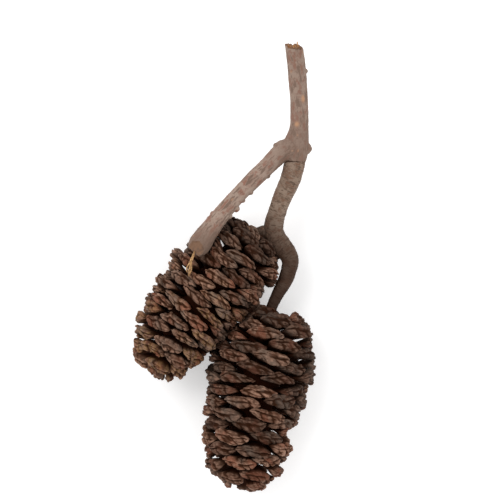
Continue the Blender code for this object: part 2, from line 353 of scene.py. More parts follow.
class WoodEffects:
    """The two effects that every finish of the sprig shares."""

    def __init__(self) -> None:
        """Build both groups once."""
        self.mottle = self.build_mottle()
        self.relief = self.build_relief()

    @staticmethod
    def build_mottle() -> bpy.types.NodeTree:
        """Weathering in colour: broad patches, streaks along the fibres and fine flecks."""
        desk, entry, leave = new_group("weathered mottle", {
            "Place": ("NodeSocketVector", None),
            "Fibre Place": ("NodeSocketVector", None),
            "Patches per mm": ("NodeSocketFloat", 1.2),
            "Streaks per mm": ("NodeSocketFloat", 5.0),
            "Flecks per mm": ("NodeSocketFloat", 14.0),
        }, ("Patches", "Streaks", "Flecks"))
        place, fibres = entry.outputs["Place"], entry.outputs["Fibre Place"]
        patches = desk.noise(place, entry.outputs["Patches per mm"], 4.0)
        streaks = desk.noise(fibres, entry.outputs["Streaks per mm"], 4.0, 0.6)
        flecks = desk.noise(place, entry.outputs["Flecks per mm"], 2.0)
        desk.feed(leave.inputs["Patches"], desk.band(patches, 0.36, 0.64))
        desk.feed(leave.inputs["Streaks"], desk.band(streaks, 0.34, 0.66))
        desk.feed(leave.inputs["Flecks"], desk.band(flecks, 0.56, 0.70))
        return desk.tree

    @staticmethod
    def build_relief() -> bpy.types.NodeTree:
        """Fine relief of dry wood: fibres, grains and pits."""
        desk, entry, leave = new_group("dry wood relief", {
            "Place": ("NodeSocketVector", None),
            "Fibre Place": ("NodeSocketVector", None),
            "Fibres per mm": ("NodeSocketFloat", 12.0),
            "Grains per mm": ("NodeSocketFloat", 22.0),
            "Fibre Share": ("NodeSocketFloat", 0.6),
        }, ("Height",))
        fibres = desk.noise(entry.outputs["Fibre Place"], entry.outputs["Fibres per mm"], 3.0)
        grains = desk.noise(entry.outputs["Place"], entry.outputs["Grains per mm"], 3.0, 0.65)
        pits = desk.node("TexVoronoi", {"feature": "F1"}, Vector=entry.outputs["Place"],
                         Scale=entry.outputs["Grains per mm"])
        share = entry.outputs["Fibre Share"]
        kept = desk.math("SUBTRACT", 1.0, share)
        pitted = desk.math("MULTIPLY", desk.band(pits.outputs["Distance"], 0.0, 0.35), 0.35)
        rough = desk.math("MULTIPLY", desk.math("ADD", grains, pitted), kept)
        height = desk.math("ADD", desk.math("MULTIPLY", fibres, share), rough)
        desk.feed(leave.inputs["Height"], height)
        return desk.tree


@dataclass(frozen=True)
class WoodLook:
    """Sizes of the weathering on one wood, and how deep its relief is."""

    patches_per_mm: float
    streaks_per_mm: float
    flecks_per_mm: float
    fibres_per_mm: float
    grains_per_mm: float
    fibre_share: float
    fibre_stretch: tuple[float, float, float]
    relief: float
    gloss: float = 0.25

    def lay(self, desk: Desk, effects: WoodEffects) -> tuple[Any, Any]:
        """Place both effects in a material.

        Args:
            desk: The material's desk.
            effects: The shared groups.

        Returns:
            The mottle node, and the normal that the relief makes.
        """
        place = desk.channel(Channel.PLACE)
        fibres = desk.stretched(place, self.fibre_stretch)
        mottle = desk.node("Group", {"node_tree": effects.mottle})
        relief = desk.node("Group", {"node_tree": effects.relief})
        values = {"Patches per mm": self.patches_per_mm, "Streaks per mm": self.streaks_per_mm,
                  "Flecks per mm": self.flecks_per_mm}
        for node in (mottle, relief):
            desk.feed(node.inputs["Place"], place)
            desk.feed(node.inputs["Fibre Place"], fibres)
        for name, value in values.items():
            desk.feed(mottle.inputs[name], value)
        desk.feed(relief.inputs["Fibres per mm"], self.fibres_per_mm)
        desk.feed(relief.inputs["Grains per mm"], self.grains_per_mm)
        desk.feed(relief.inputs["Fibre Share"], self.fibre_share)
        bump = desk.node("Bump", None, Strength=1.0, Distance=self.relief,
                         Height=relief.outputs["Height"])
        return mottle, bump.outputs["Normal"]


def new_material(name: str, gloss: float) -> tuple[bpy.types.Material, Desk, Any]:
    """Start a material.

    Args:
        name: Name of the material.
        gloss: Strength of its mirror-like part.

    Returns:
        The material, its desk and its Principled shader.
    """
    material = bpy.data.materials.new(name)
    material.use_nodes = True
    desk = Desk(material.node_tree)
    shader = material.node_tree.nodes["Principled BSDF"]
    shader.inputs["Metallic"].default_value = 0.0
    shader.inputs["Specular IOR Level"].default_value = gloss
    return material, desk, shader


@dataclass(frozen=True)
class ConeWoodFinish:
    """Dry brown cone scales: painted shade at the scale roots and in the hollows, crests lighter from
    wear and a painted highlight, reddish patches.
    """

    # Near black: painted shade, laid deep in the cone at the scale roots and on the spindle.
    root: Colour = (0.0260, 0.0052, 0.0007)
    # Painted shade in the hollows of the rims; the dark flecks take this colour too.
    groove: Colour = (0.0300, 0.0084, 0.0018)
    body: Colour = (0.0560, 0.0246, 0.0136)
    # Lighter colour of the crests: partly wear, partly painted highlight.
    crest: Colour = (0.2300, 0.1300, 0.0890)
    red: Colour = (0.1450, 0.0500, 0.0280)
    ochre: Colour = (0.1500, 0.0860, 0.0330)
    grey: Colour = (0.1350, 0.1020, 0.0800)
    look: WoodLook = WoodLook(1.3, 4.5, 9.0, 9.0, 18.0, 0.55, (1.0, 0.28, 0.55), 0.030 * MM, 0.08)

    def material(self, effects: WoodEffects) -> bpy.types.Material:
        """Build the material."""
        material, desk, shader = new_material("cone wood", self.look.gloss)
        mottle, normal = self.look.lay(desk, effects)
        rim, crest = desk.channel(Channel.RIM), desk.channel(Channel.CREST)
        tint, lobe = desk.channel(Channel.SCALE_TINT), desk.channel(Channel.LOBE_TINT)
        streaks, patches = mottle.outputs["Streaks"], mottle.outputs["Patches"]
        # Partly wear and partly painted highlight: convex crests, broken by streaks, go lighter and
        # smoother.
        wear_and_highlight = desk.math("MULTIPLY", desk.band(crest, 0.36, 0.95), desk.band(streaks, 0.0, 1.0, 0.35))
        lit = desk.mix(wear_and_highlight, self.body, self.crest)
        grey_share = desk.math("MULTIPLY", desk.band(lobe, 0.45, 0.85), patches)
        grey = desk.mix(desk.math("MULTIPLY", grey_share, 0.55), lit, self.grey)
        red_share = desk.math("MULTIPLY", desk.band(lobe, 0.50, 0.12), desk.band(patches, 0.8, 0.2))
        red = desk.mix(desk.math("MULTIPLY", red_share, 0.65), grey, self.red)
        ochre_share = desk.math("MULTIPLY", desk.band(tint, 0.90, 1.10), desk.band(streaks, 0.3, 0.8))
        warm = desk.mix(desk.math("MULTIPLY", ochre_share, 0.50), red, self.ochre)
        shade = desk.band(tint, 0.0, 1.0, 0.40, 1.50)
        shaded = desk.mix(1.0, warm, desk.node("CombineColor", None, Red=shade, Green=shade,
                                               Blue=shade).outputs[0], "MULTIPLY")
        # Painted shade: concave spots of the rims, where the crest value is low, take the dark groove
        # colour.
        hollow_shade = desk.band(crest, 0.05, 0.44, 0.88, 0.0)
        shaded_hollows = desk.mix(hollow_shade, shaded, self.groove)
        flecked = desk.mix(desk.math("MULTIPLY", mottle.outputs["Flecks"], 0.45), shaded_hollows, self.groove)
        # Painted shade: towards the scale roots, where the gaps between scales are deep, the colour goes
        # to the near-black root colour.
        coloured = desk.mix(desk.band(rim, 0.12, 0.80, 1.0, 0.0), flecked, self.root)
        desk.feed(shader.inputs["Base Color"], coloured)
        desk.feed(shader.inputs["Roughness"], desk.band(wear_and_highlight, 0.0, 1.0, 0.82, 0.58))
        desk.feed(shader.inputs["Normal"], normal)
        return material


@dataclass(frozen=True)
class BarkFinish:
    """Bark of a stem: mottled, streaked along its length, with lenticels and bare wood."""

    name: str
    body: Colour
    light: Colour
    dark: Colour
    red: Colour
    # Colour of the darkened parts: on the fruit stalk partly darker bark, partly painted shade.
    darkened: Colour
    lenticel: Colour
    bare: Colour
    look: WoodLook

    def material(self, effects: WoodEffects) -> bpy.types.Material:
        """Build the material."""
        material, desk, shader = new_material(self.name, self.look.gloss)
        mottle, normal = self.look.lay(desk, effects)
        streaks, patches = mottle.outputs["Streaks"], mottle.outputs["Patches"]
        pale = desk.mix(desk.math("MULTIPLY", patches, 0.85), self.body, self.light)
        red_share = desk.math("MULTIPLY", desk.band(patches, 0.75, 0.15), desk.band(streaks, 0.35, 0.8))
        red = desk.mix(desk.math("MULTIPLY", red_share, 0.95), pale, self.red)
        dark_share = desk.math("MULTIPLY", desk.band(streaks, 0.42, 0.05), 0.70)
        streaked = desk.mix(dark_share, red, self.dark)
        flecked = desk.mix(desk.math("MULTIPLY", mottle.outputs["Flecks"], 0.45), streaked, self.dark)
        darkened_share = desk.channel(Channel.AGE)
        # Darkened parts: on the fruit stalk partly darker bark, partly painted shade; on the twig the
        # main twig, the fork and the blunt end.
        darkened_bark = desk.mix(darkened_share, flecked, desk.mix(0.92, flecked, self.darkened))
        spotted = desk.mix(desk.channel(Channel.LENTICEL), darkened_bark, self.lenticel)
        bare_wood = desk.mix(desk.math("MULTIPLY", dark_share, 0.9), self.bare, self.dark)
        coloured = desk.mix(desk.channel(Channel.BARE), spotted, bare_wood)
        desk.feed(shader.inputs["Base Color"], coloured)
        desk.feed(shader.inputs["Roughness"], desk.band(streaks, 0.0, 1.0, 0.86, 0.66))
        desk.feed(shader.inputs["Normal"], normal)
        return material


GREY_BARK = BarkFinish(
    name="grey bark", body=(0.280, 0.190, 0.148), light=(0.355, 0.262, 0.209),
    dark=(0.128, 0.080, 0.058), red=(0.245, 0.118, 0.082), darkened=(0.182, 0.118, 0.088),
    lenticel=(0.430, 0.240, 0.140), bare=(0.205, 0.108, 0.060),
    look=WoodLook(1.6, 4.2, 7.0, 7.0, 16.0, 0.6, (1.0, 1.0, 0.30), 0.034 * MM, 0.20))
BROWN_BARK = BarkFinish(
    name="brown bark", body=(0.208, 0.139, 0.099), light=(0.268, 0.194, 0.146),
    dark=(0.070, 0.042, 0.029), red=(0.160, 0.084, 0.054), darkened=(0.030, 0.0125, 0.0065),
    lenticel=(0.260, 0.160, 0.100), bare=(0.150, 0.095, 0.070),
    look=WoodLook(1.5, 3.6, 8.0, 6.0, 16.0, 0.6, (0.6, 0.6, 2.2), 0.030 * MM, 0.14))


@dataclass(frozen=True)
class SplinterFinish:
    """Fresh orange-brown wood where the twig broke, or a pale torn strip of bast."""

    name: str
    pale: Colour
    dark: Colour
    look: WoodLook = WoodLook(3.0, 9.0, 12.0, 14.0, 20.0, 0.8, (1.0, 1.0, 0.12), 0.018 * MM)

    def material(self, effects: WoodEffects) -> bpy.types.Material:
        """Build the material."""
        material, desk, shader = new_material(self.name, self.look.gloss)
        mottle, normal = self.look.lay(desk, effects)
        coloured = desk.mix(mottle.outputs["Streaks"], self.dark, self.pale)
        desk.feed(shader.inputs["Base Color"], coloured)
        desk.feed(shader.inputs["Roughness"], desk.band(mottle.outputs["Patches"], 0.0, 1.0, 0.75, 0.6))
        desk.feed(shader.inputs["Normal"], normal)
        return material


BROKEN_WOOD = SplinterFinish("broken wood", (0.560, 0.300, 0.130), (0.300, 0.115, 0.040))
TORN_BAST = SplinterFinish("torn bast", (0.620, 0.370, 0.165), (0.280, 0.150, 0.065))


@dataclass(frozen=True)
class TableFinish:
    """The plain pale table: matt, with the faintest unevenness."""

    pale: Colour = (0.860, 0.860, 0.860)
    paler: Colour = (0.880, 0.880, 0.880)
    roughness: float = 0.9
    glow: float = 0.40

    def material(self) -> bpy.types.Material:
        """Build the material."""
        material, desk, shader = new_material("pale table", 0.1)
        place = desk.node("TexCoord").outputs["Object"]
        coloured = desk.mix(desk.noise(place, 40.0, 2.0), self.pale, self.paler)
        desk.feed(shader.inputs["Base Color"], coloured)
        shader.inputs["Roughness"].default_value = self.roughness
        shader.inputs["Emission Color"].default_value = (*self.paler, 1.0)
        shader.inputs["Emission Strength"].default_value = self.glow
        return material


@dataclass(frozen=True)
class ScaleSpot:
    """Where one scale stands on its spindle, and how long and wide it is."""

    root: Vector
    across: Vector
    along: Vector
    through: Vector
    width: float
    reach: float


@dataclass(frozen=True)
class ScaleForm:
    """One woody scale: a fan whose thick rim has an upper tier of lobes and a lower lip.

    Its surface is a grid. Columns run across the fan, six to a lobe with a groove between
    lobes. Each column is a loop from the root along the underside, round the rim and back.
    """

    root_width: float = 0.46 * MM
    rim_thickness: float = 0.80 * MM
    blade_thickness: float = 0.32 * MM
    rim_depth: float = 0.30 * MM
    corner_at: float = 0.80
    bow: float = 0.07
    end_drop: float = 0.14
    end_share: float = 0.10
    lobes: int = 4
    columns_a_lobe: int = 6
    blade_rows: int = 3
    rim_rows: int = 25
    rim_squareness: float = 0.62
    groove_depth: float = 0.24
    groove_reach: float = 0.18 * MM
    crest_bluntness: float = 0.60
    lobe_reach: float = 0.11 * MM
    lobe_swell: float = 0.22
    lobe_shift: float = 0.07 * MM
    lip_groove: float = 0.30 * MM
    lip_groove_width: float = 0.10
    lip_at: float = -0.12
    lip_slant: float = 0.35
    lip_reach: float = 0.10 * MM
    lean: float = 0.40 * MM
    cup: float = 0.12 * MM
    curl: float = 0.10 * MM
    strand_grain: tuple[float, float, float] = (0.80 * MM, 0.60 * MM, 0.19 * MM)
    crease_width: float = 0.15
    crease_depth: float = 0.068 * MM
    lump_grain: float = 0.17 * MM
    lump_height: float = 0.048 * MM
    relief_range: float = 0.070 * MM
    relief_middle: float = 0.40
    place_range: float = 40.0 * MM
    lens_power: float = 2.2
    lens_bluntness: float = 0.85
    slant_shares: tuple[float, float] = (0.3, 1.0)
    relief_smoothing: int = 5
    lobe_sizes: tuple[float, float] = (0.6, 1.4)
    groove_shares: tuple[float, float] = (0.3, 1.0)
    swell_shares: tuple[float, float] = (0.86, 1.12)
    lean_shares: tuple[float, float] = (0.6, 1.4)
    lip_wander: float = 0.15
    lip_widths: tuple[float, float] = (0.6, 0.9)
    lip_lengths: tuple[float, float] = (-0.6, 1.0)
    lip_grooves: tuple[float, float] = (0.6, 1.1)
    rim_zone: tuple[float, float] = (0.45, 0.90)
    root_shade_zone: tuple[float, float] = (0.30, 0.98)

    @property
    def columns(self) -> int:
        """How many columns the grid has."""
        return self.lobes * self.columns_a_lobe + 1

    @property
    def rows(self) -> int:
        """How many points each column's loop has."""
        return 2 * self.blade_rows + self.rim_rows

    def loop(self) -> tuple[np.ndarray, np.ndarray, np.ndarray]:
        """The loop that every column follows.

        Returns:
            Share of the blade passed, how far out round the rim, and side from -1 below
            to 1 above, at each point.
        """
        blade = np.linspace(0.0, 1.0, self.blade_rows, endpoint=False) ** 0.7
        angle = np.linspace(-0.5 * math.pi, 0.5 * math.pi, self.rim_rows)
        out = np.abs(np.cos(angle)) ** self.rim_squareness
        side = np.sign(np.sin(angle)) * np.abs(np.sin(angle)) ** self.rim_squareness
        flat = np.zeros(self.blade_rows)
        passed = np.concatenate((blade, np.ones(self.rim_rows), blade[::-1]))
        outward = np.concatenate((flat, out, flat))
        sides = np.concatenate((flat - 1.0, side, flat + 1.0))
        return passed, outward, sides

    def faces(self) -> np.ndarray:
        """The grid's faces, with its root and both ends closed."""
        columns, rows = self.columns, self.rows
        number = np.arange(columns * rows).reshape(columns, rows)
        left, right = number[:-1], number[1:]
        skin = np.stack((left[:, :-1], left[:, 1:], right[:, 1:], right[:, :-1]), axis=-1)
        root = np.stack((left[:, 0], right[:, 0], right[:, -1], left[:, -1]), axis=-1)
        half = rows // 2
        ends = []
        for column, turned in ((number[0], False), (number[-1], True)):
            lower, upper = column[:half], column[::-1][:half]
            quads = np.stack((lower[:-1], upper[:-1], upper[1:], lower[1:]), axis=-1)
            ends.append(quads[:, ::-1] if turned else quads)
        return np.concatenate([skin.reshape(-1, 4), root, *ends])

    @staticmethod
    def smoothed(grid: np.ndarray, times: int) -> np.ndarray:
        """The grid with each point drawn towards its neighbours."""
        for _ in range(times):
            wide = np.pad(grid, ((1, 1), (1, 1), (0, 0)), mode="edge")
            beside = wide[:-2, 1:-1] + wide[2:, 1:-1] + wide[1:-1, :-2] + wide[1:-1, 2:]
            grid = (2.0 * grid + beside) / 6.0
        return grid

    @staticmethod
    def normals(grid: np.ndarray) -> np.ndarray:
        """The outward direction at each point of the grid."""
        normal = np.cross(np.gradient(grid, axis=1), np.gradient(grid, axis=0))
        return normal / np.maximum(np.linalg.norm(normal, axis=-1, keepdims=True), 1e-12)

    def surface(self, spot: ScaleSpot, draw: np.random.Generator,
                noise: SolidNoise) -> dict[str, np.ndarray]:
        """Shape one scale.

        Args:
            spot: Where it stands.
            draw: Its random numbers.
            noise: What wrinkles it.

        Returns:
            World points, local places in millimetres, and what the points carry.
        """
        phase = np.linspace(0.0, self.lobes, self.columns)
        sizes = draw.uniform(*self.lobe_sizes, self.lobes)
        edges = np.concatenate(([0.0], np.cumsum(sizes))) / sizes.sum() * 2.0 - 1.0
        u = np.interp(phase, np.arange(self.lobes + 1), edges)
        depths = draw.uniform(*self.groove_shares, self.lobes + 1)
        grooves = np.interp(phase, np.arange(self.lobes + 1), depths)
        crest = 1.0 - grooves * (1.0 - np.sin(math.pi * (phase % 1.0)) ** self.crest_bluntness)

        def by_lobe(spread: float) -> np.ndarray:
            """A random value for each lobe, smooth from lobe to lobe."""
            values = draw.uniform(-spread, spread, self.lobes)
            return np.interp(phase, np.arange(self.lobes) + 0.5, values)

        lens = (1.0 - np.abs(u) ** self.lens_power) ** self.lens_bluntness
        taper = self.end_share + (1.0 - self.end_share) * lens
        swell = taper * (1.0 + by_lobe(self.lobe_swell)) * draw.uniform(*self.swell_shares)
        swell *= 1.0 - self.groove_depth * (1.0 - crest)
        out_by = spot.reach * (1.0 - self.bow * u ** 2 - self.end_drop * np.abs(u) ** 6)
        out_by += by_lobe(0.4 * self.lobe_reach)
        shift = by_lobe(self.lobe_shift) + self.cup * draw.uniform(-1.0, 1.0) * (u ** 2 - 0.4)
        lean = self.lean * draw.uniform(*self.lean_shares) * (1.0 - 0.8 * np.abs(u))
        curl = self.curl * draw.uniform(-1.0, 1.0)

        passed, outward, sides = self.loop()
        lip_line = self.lip_at + draw.uniform(-self.lip_wander, self.lip_wander)
        lip_line = lip_line + self.lip_slant * u * draw.uniform(*self.slant_shares)
        from_lip = sides - lip_line[:, None]
        lobed = smooth_step(-0.25, 0.15, from_lip)
        lip = np.clip(1.0 - (u / draw.uniform(*self.lip_widths)) ** 2, 0.0, 1.0)
        lip *= draw.uniform(*self.lip_lengths)
        tiers = lobed * (by_lobe(self.lobe_reach) - self.groove_reach * (1.0 - crest))[:, None]
        tiers += (1.0 - lobed) * (self.lip_reach * lip)[:, None]
        groove = np.exp(-(from_lip / self.lip_groove_width) ** 2) * np.sqrt(taper)[:, None]
        tiers -= self.lip_groove * draw.uniform(*self.lip_grooves) * groove
        corner = out_by - self.rim_depth
        y = np.outer(corner, passed) + (self.rim_depth + tiers) * outward
        along_share = np.clip(y / spot.reach, 0.0, 1.0)
        spread = np.minimum(along_share / self.corner_at, 1.0)
        half_width = 0.5 * (self.root_width + (spot.width - self.root_width) * spread)
        rim = smooth_step(*self.rim_zone, along_share)
        rim_half = 0.5 * self.rim_thickness * swell[:, None]
        blade_half = 0.5 * self.blade_thickness * taper[:, None]
        half = blade_half + (rim_half - blade_half) * rim
        z = sides * half
        x = u[:, None] * half_width + lean[:, None] * rim * sides
        z = z + shift[:, None] * rim + curl * along_share ** 2
        grid = np.stack((x, y, z), axis=-1)

        place = grid + draw.uniform(0.0, self.place_range, 3)
        sheared = place - np.stack((self.lean / self.rim_thickness * 1.6 * z, 0 * y, 0 * z), axis=-1)
        flat_place = sheared.reshape(-1, 3)
        creases = np.exp(-(noise.at(flat_place, self.strand_grain) / self.crease_width) ** 2)
        facets = np.abs(noise.at(place.reshape(-1, 3), self.lump_grain))
        height = self.lump_height * facets - self.crease_depth * creases
        grid = grid + self.normals(grid) * (height.reshape(z.shape) * rim)[..., None]
        # The crest value is how far a point stands out from its smoothed neighbours: the cone wood paints
        # shade in the hollows and a highlight on the crests by it.
        raised = np.sum((grid - self.smoothed(grid, self.relief_smoothing)) * self.normals(grid), axis=-1)
        ridge = np.clip(self.relief_middle + raised / self.relief_range, 0.0, 1.0)

        local = grid.reshape(-1, 3)
        frame_rows = np.array((spot.across, spot.along, spot.through))
        return {
            "points": np.array(spot.root) + local @ frame_rows,
            "place": place.reshape(-1, 3) / MM,
            # How far out along the scale a point lies; the cone wood paints shade towards the roots by
            # it.
            "rim": smooth_step(*self.root_shade_zone, along_share).reshape(-1),
            "crest": (ridge * rim).reshape(-1),
            "lobe_tint": np.repeat(by_lobe(0.5) + 0.5, self.rows),
            "tint": np.full(local.shape[0], draw.uniform(0.0, 1.0)),
        }


@dataclass(frozen=True)
class Parting:
    """The leaning plane along which the two cones press on each other."""

    height: float = 4.80 * MM
    start: tuple[float, float] = (3.05 * MM, -2.05 * MM)
    end: tuple[float, float] = (-0.55 * MM, -5.72 * MM)
    lean: float = math.radians(15.0)
    clearance: float = 0.01 * MM

    def press(self, points: np.ndarray, inside: Vector) -> tuple[np.ndarray, float]:
        """Press points that lie beyond the plane back onto it.

        Args:
            points: Positions, one a row.
            inside: A point on the side that they belong to.

        Returns:
            The new positions, and how deep the deepest point lay beyond.
        """
        through = Vector((*self.start, self.height))
        run = (Vector((*self.end, self.height)) - through).normalized()
        across = Matrix.Rotation(-self.lean, 3, run) @ run.cross(UP)
        if across.dot(inside - through) < 0.0:
            across = -across
        beyond = self.clearance - (points - np.array(through)) @ np.array(across)
        pressed = points + np.maximum(beyond, 0.0)[:, None] * np.array(across)
        return pressed, float(beyond.max())


def tube_faces(count: int, sides: int) -> list[list[int]]:
    """The faces of a closed tube whose points are numbered ring by ring.

    Args:
        count: How many points the tube has.
        sides: How many of them each ring has.

    Returns:
        The faces between the rings, then both ends.
    """
    number = np.arange(count).reshape(-1, sides)
    after = np.roll(number, -1, axis=1)
    quads = np.stack((number[:-1], after[:-1], after[1:], number[1:]), axis=-1)
    return quads.reshape(-1, 4).tolist() + [number[0][::-1].tolist(), number[-1].tolist()]


class StemPath:
    """A stem's smooth centre line, with a radius and a frame at each sample."""

    def __init__(self, stations: tuple[Station, ...], step: float = 0.08 * MM) -> None:
        """Draw a smooth curve through the stations."""
        knots = np.array([(*centre, radius) for centre, radius in stations])
        ends = (2 * knots[0] - knots[1], 2 * knots[-1] - knots[-2])
        knots = np.vstack((ends[0], knots, ends[1]))
        samples = []
        for before, start, end, after in zip(knots, knots[1:], knots[2:], knots[3:]):
            count = max(2, round(float(np.linalg.norm((end - start)[:3])) / step))
            t = np.linspace(0.0, 1.0, count, endpoint=False)[:, None]
            linear = end - before
            square = 2 * before - 5 * start + 4 * end - after
            cube = 3 * start - before - 3 * end + after
            samples.append(start + 0.5 * (linear * t + square * t ** 2 + cube * t ** 3))
        path = np.vstack((*samples, knots[-2]))
        self.centres, self.radii = path[:, :3], path[:, 3]
        self.tangents = np.gradient(self.centres, axis=0)
        self.tangents /= np.linalg.norm(self.tangents, axis=1)[:, None]
        steps = np.linalg.norm(np.diff(self.centres, axis=0), axis=1)
        self.lengths = np.concatenate(([0.0], np.cumsum(steps)))
        self.sides = self.carried_sides()
        self.others = np.cross(self.tangents, self.sides)

    def carried_sides(self) -> np.ndarray:
        """A sideways direction at each sample, carried along without twist."""
        sides = [np.cross(self.tangents[0], (0.0, 0.0, 1.0))]
        for tangent in self.tangents:
            side = sides[-1] - tangent * np.dot(sides[-1], tangent)
            sides.append(side / np.linalg.norm(side))
        return np.array(sides[1:])

    def tube(self, sides: int = 28) -> tuple[np.ndarray, list[list[int]]]:
        """A closed tube along the path.

        Args:
            sides: Points around it.

        Returns:
            Its points and faces.
        """
        angle = np.arange(sides) * 2.0 * math.pi / sides
        ring = (np.cos(angle)[None, :, None] * self.sides[:, None]
                + np.sin(angle)[None, :, None] * self.others[:, None])
        points = (self.centres[:, None] + ring * self.radii[:, None, None]).reshape(-1, 3)
        return points, tube_faces(len(points), sides)


def stem_gap(points: np.ndarray, stations: tuple[Station, ...]) -> float:
    """Smallest gap between some points and the surface of a stem.

    Args:
        points: Positions, one a row.
        stations: The stem's centres and radii.

    Returns:
        The gap, negative inside the stem.
    """
    gaps = []
    for (start, start_radius), (end, end_radius) in zip(stations, stations[1:]):
        run = np.array(end - start)
        away = points - np.array(start)
        part = np.clip(away @ run / (run @ run), 0.0, 1.0)
        radius = start_radius + (end_radius - start_radius) * part
        gaps.append(np.min(np.linalg.norm(away - part[:, None] * run, axis=1) - radius))
    return min(gaps)


MAIN_TWIG: tuple[Station, ...] = (
    (mm(4.83, 14.90, 4.95), 0.59 * MM),
    (mm(5.08, 13.00, 4.88), 0.59 * MM),
    (mm(5.23, 10.60, 4.78), 0.57 * MM),
    (mm(5.18, 9.10, 4.70), 0.64 * MM),
    (mm(5.02, 8.10, 4.62), 0.88 * MM),
    (mm(4.97, 7.14, 4.50), 0.70 * MM),
)
TWIG_TIP: tuple[Station, ...] = (
    (mm(4.70, 8.00, 4.66), 0.66 * MM),
    (mm(3.90, 7.53, 4.82), 0.60 * MM),
    (mm(1.72, 5.35, 5.30), 0.51 * MM),
    (mm(0.49, 4.05, 5.62), 0.52 * MM),
    (mm(-0.73, 2.48, 5.88), 0.64 * MM),
    (mm(-1.37, 1.57, 5.92), 0.74 * MM),
    (mm(-1.74, 1.12, 5.90), 0.50 * MM),
)
FRUIT_STALK: tuple[Station, ...] = (
    (mm(5.00, 7.24, 4.51), 0.60 * MM),
    (mm(4.97, 7.02, 4.48), 0.68 * MM),
    (mm(4.56, 5.70, 4.28), 0.67 * MM),
    (mm(3.88, 4.02, 4.00), 0.59 * MM),
    (mm(3.55, 2.80, 3.72), 0.64 * MM),
    (mm(3.68, 1.95, 3.52), 0.72 * MM),
    (mm(4.38, 1.08, 3.36), 0.61 * MM),
    (mm(4.65, 0.36, 3.32), 0.57 * MM),
    (mm(4.36, -0.72, 3.32), 0.50 * MM),
    (mm(3.92, -1.55, 3.32), 0.42 * MM),
    (mm(3.56, -2.30, 3.32), 0.38 * MM),
    (mm(3.22, -3.12, 3.30), 0.34 * MM),
)
SIDE_ARM: tuple[Station, ...] = (
    (mm(3.45, 2.20, 3.55), 0.58 * MM),
    (mm(2.88, 2.34, 3.38), 0.50 * MM),
    (mm(2.12, 2.14, 3.20), 0.38 * MM),
)


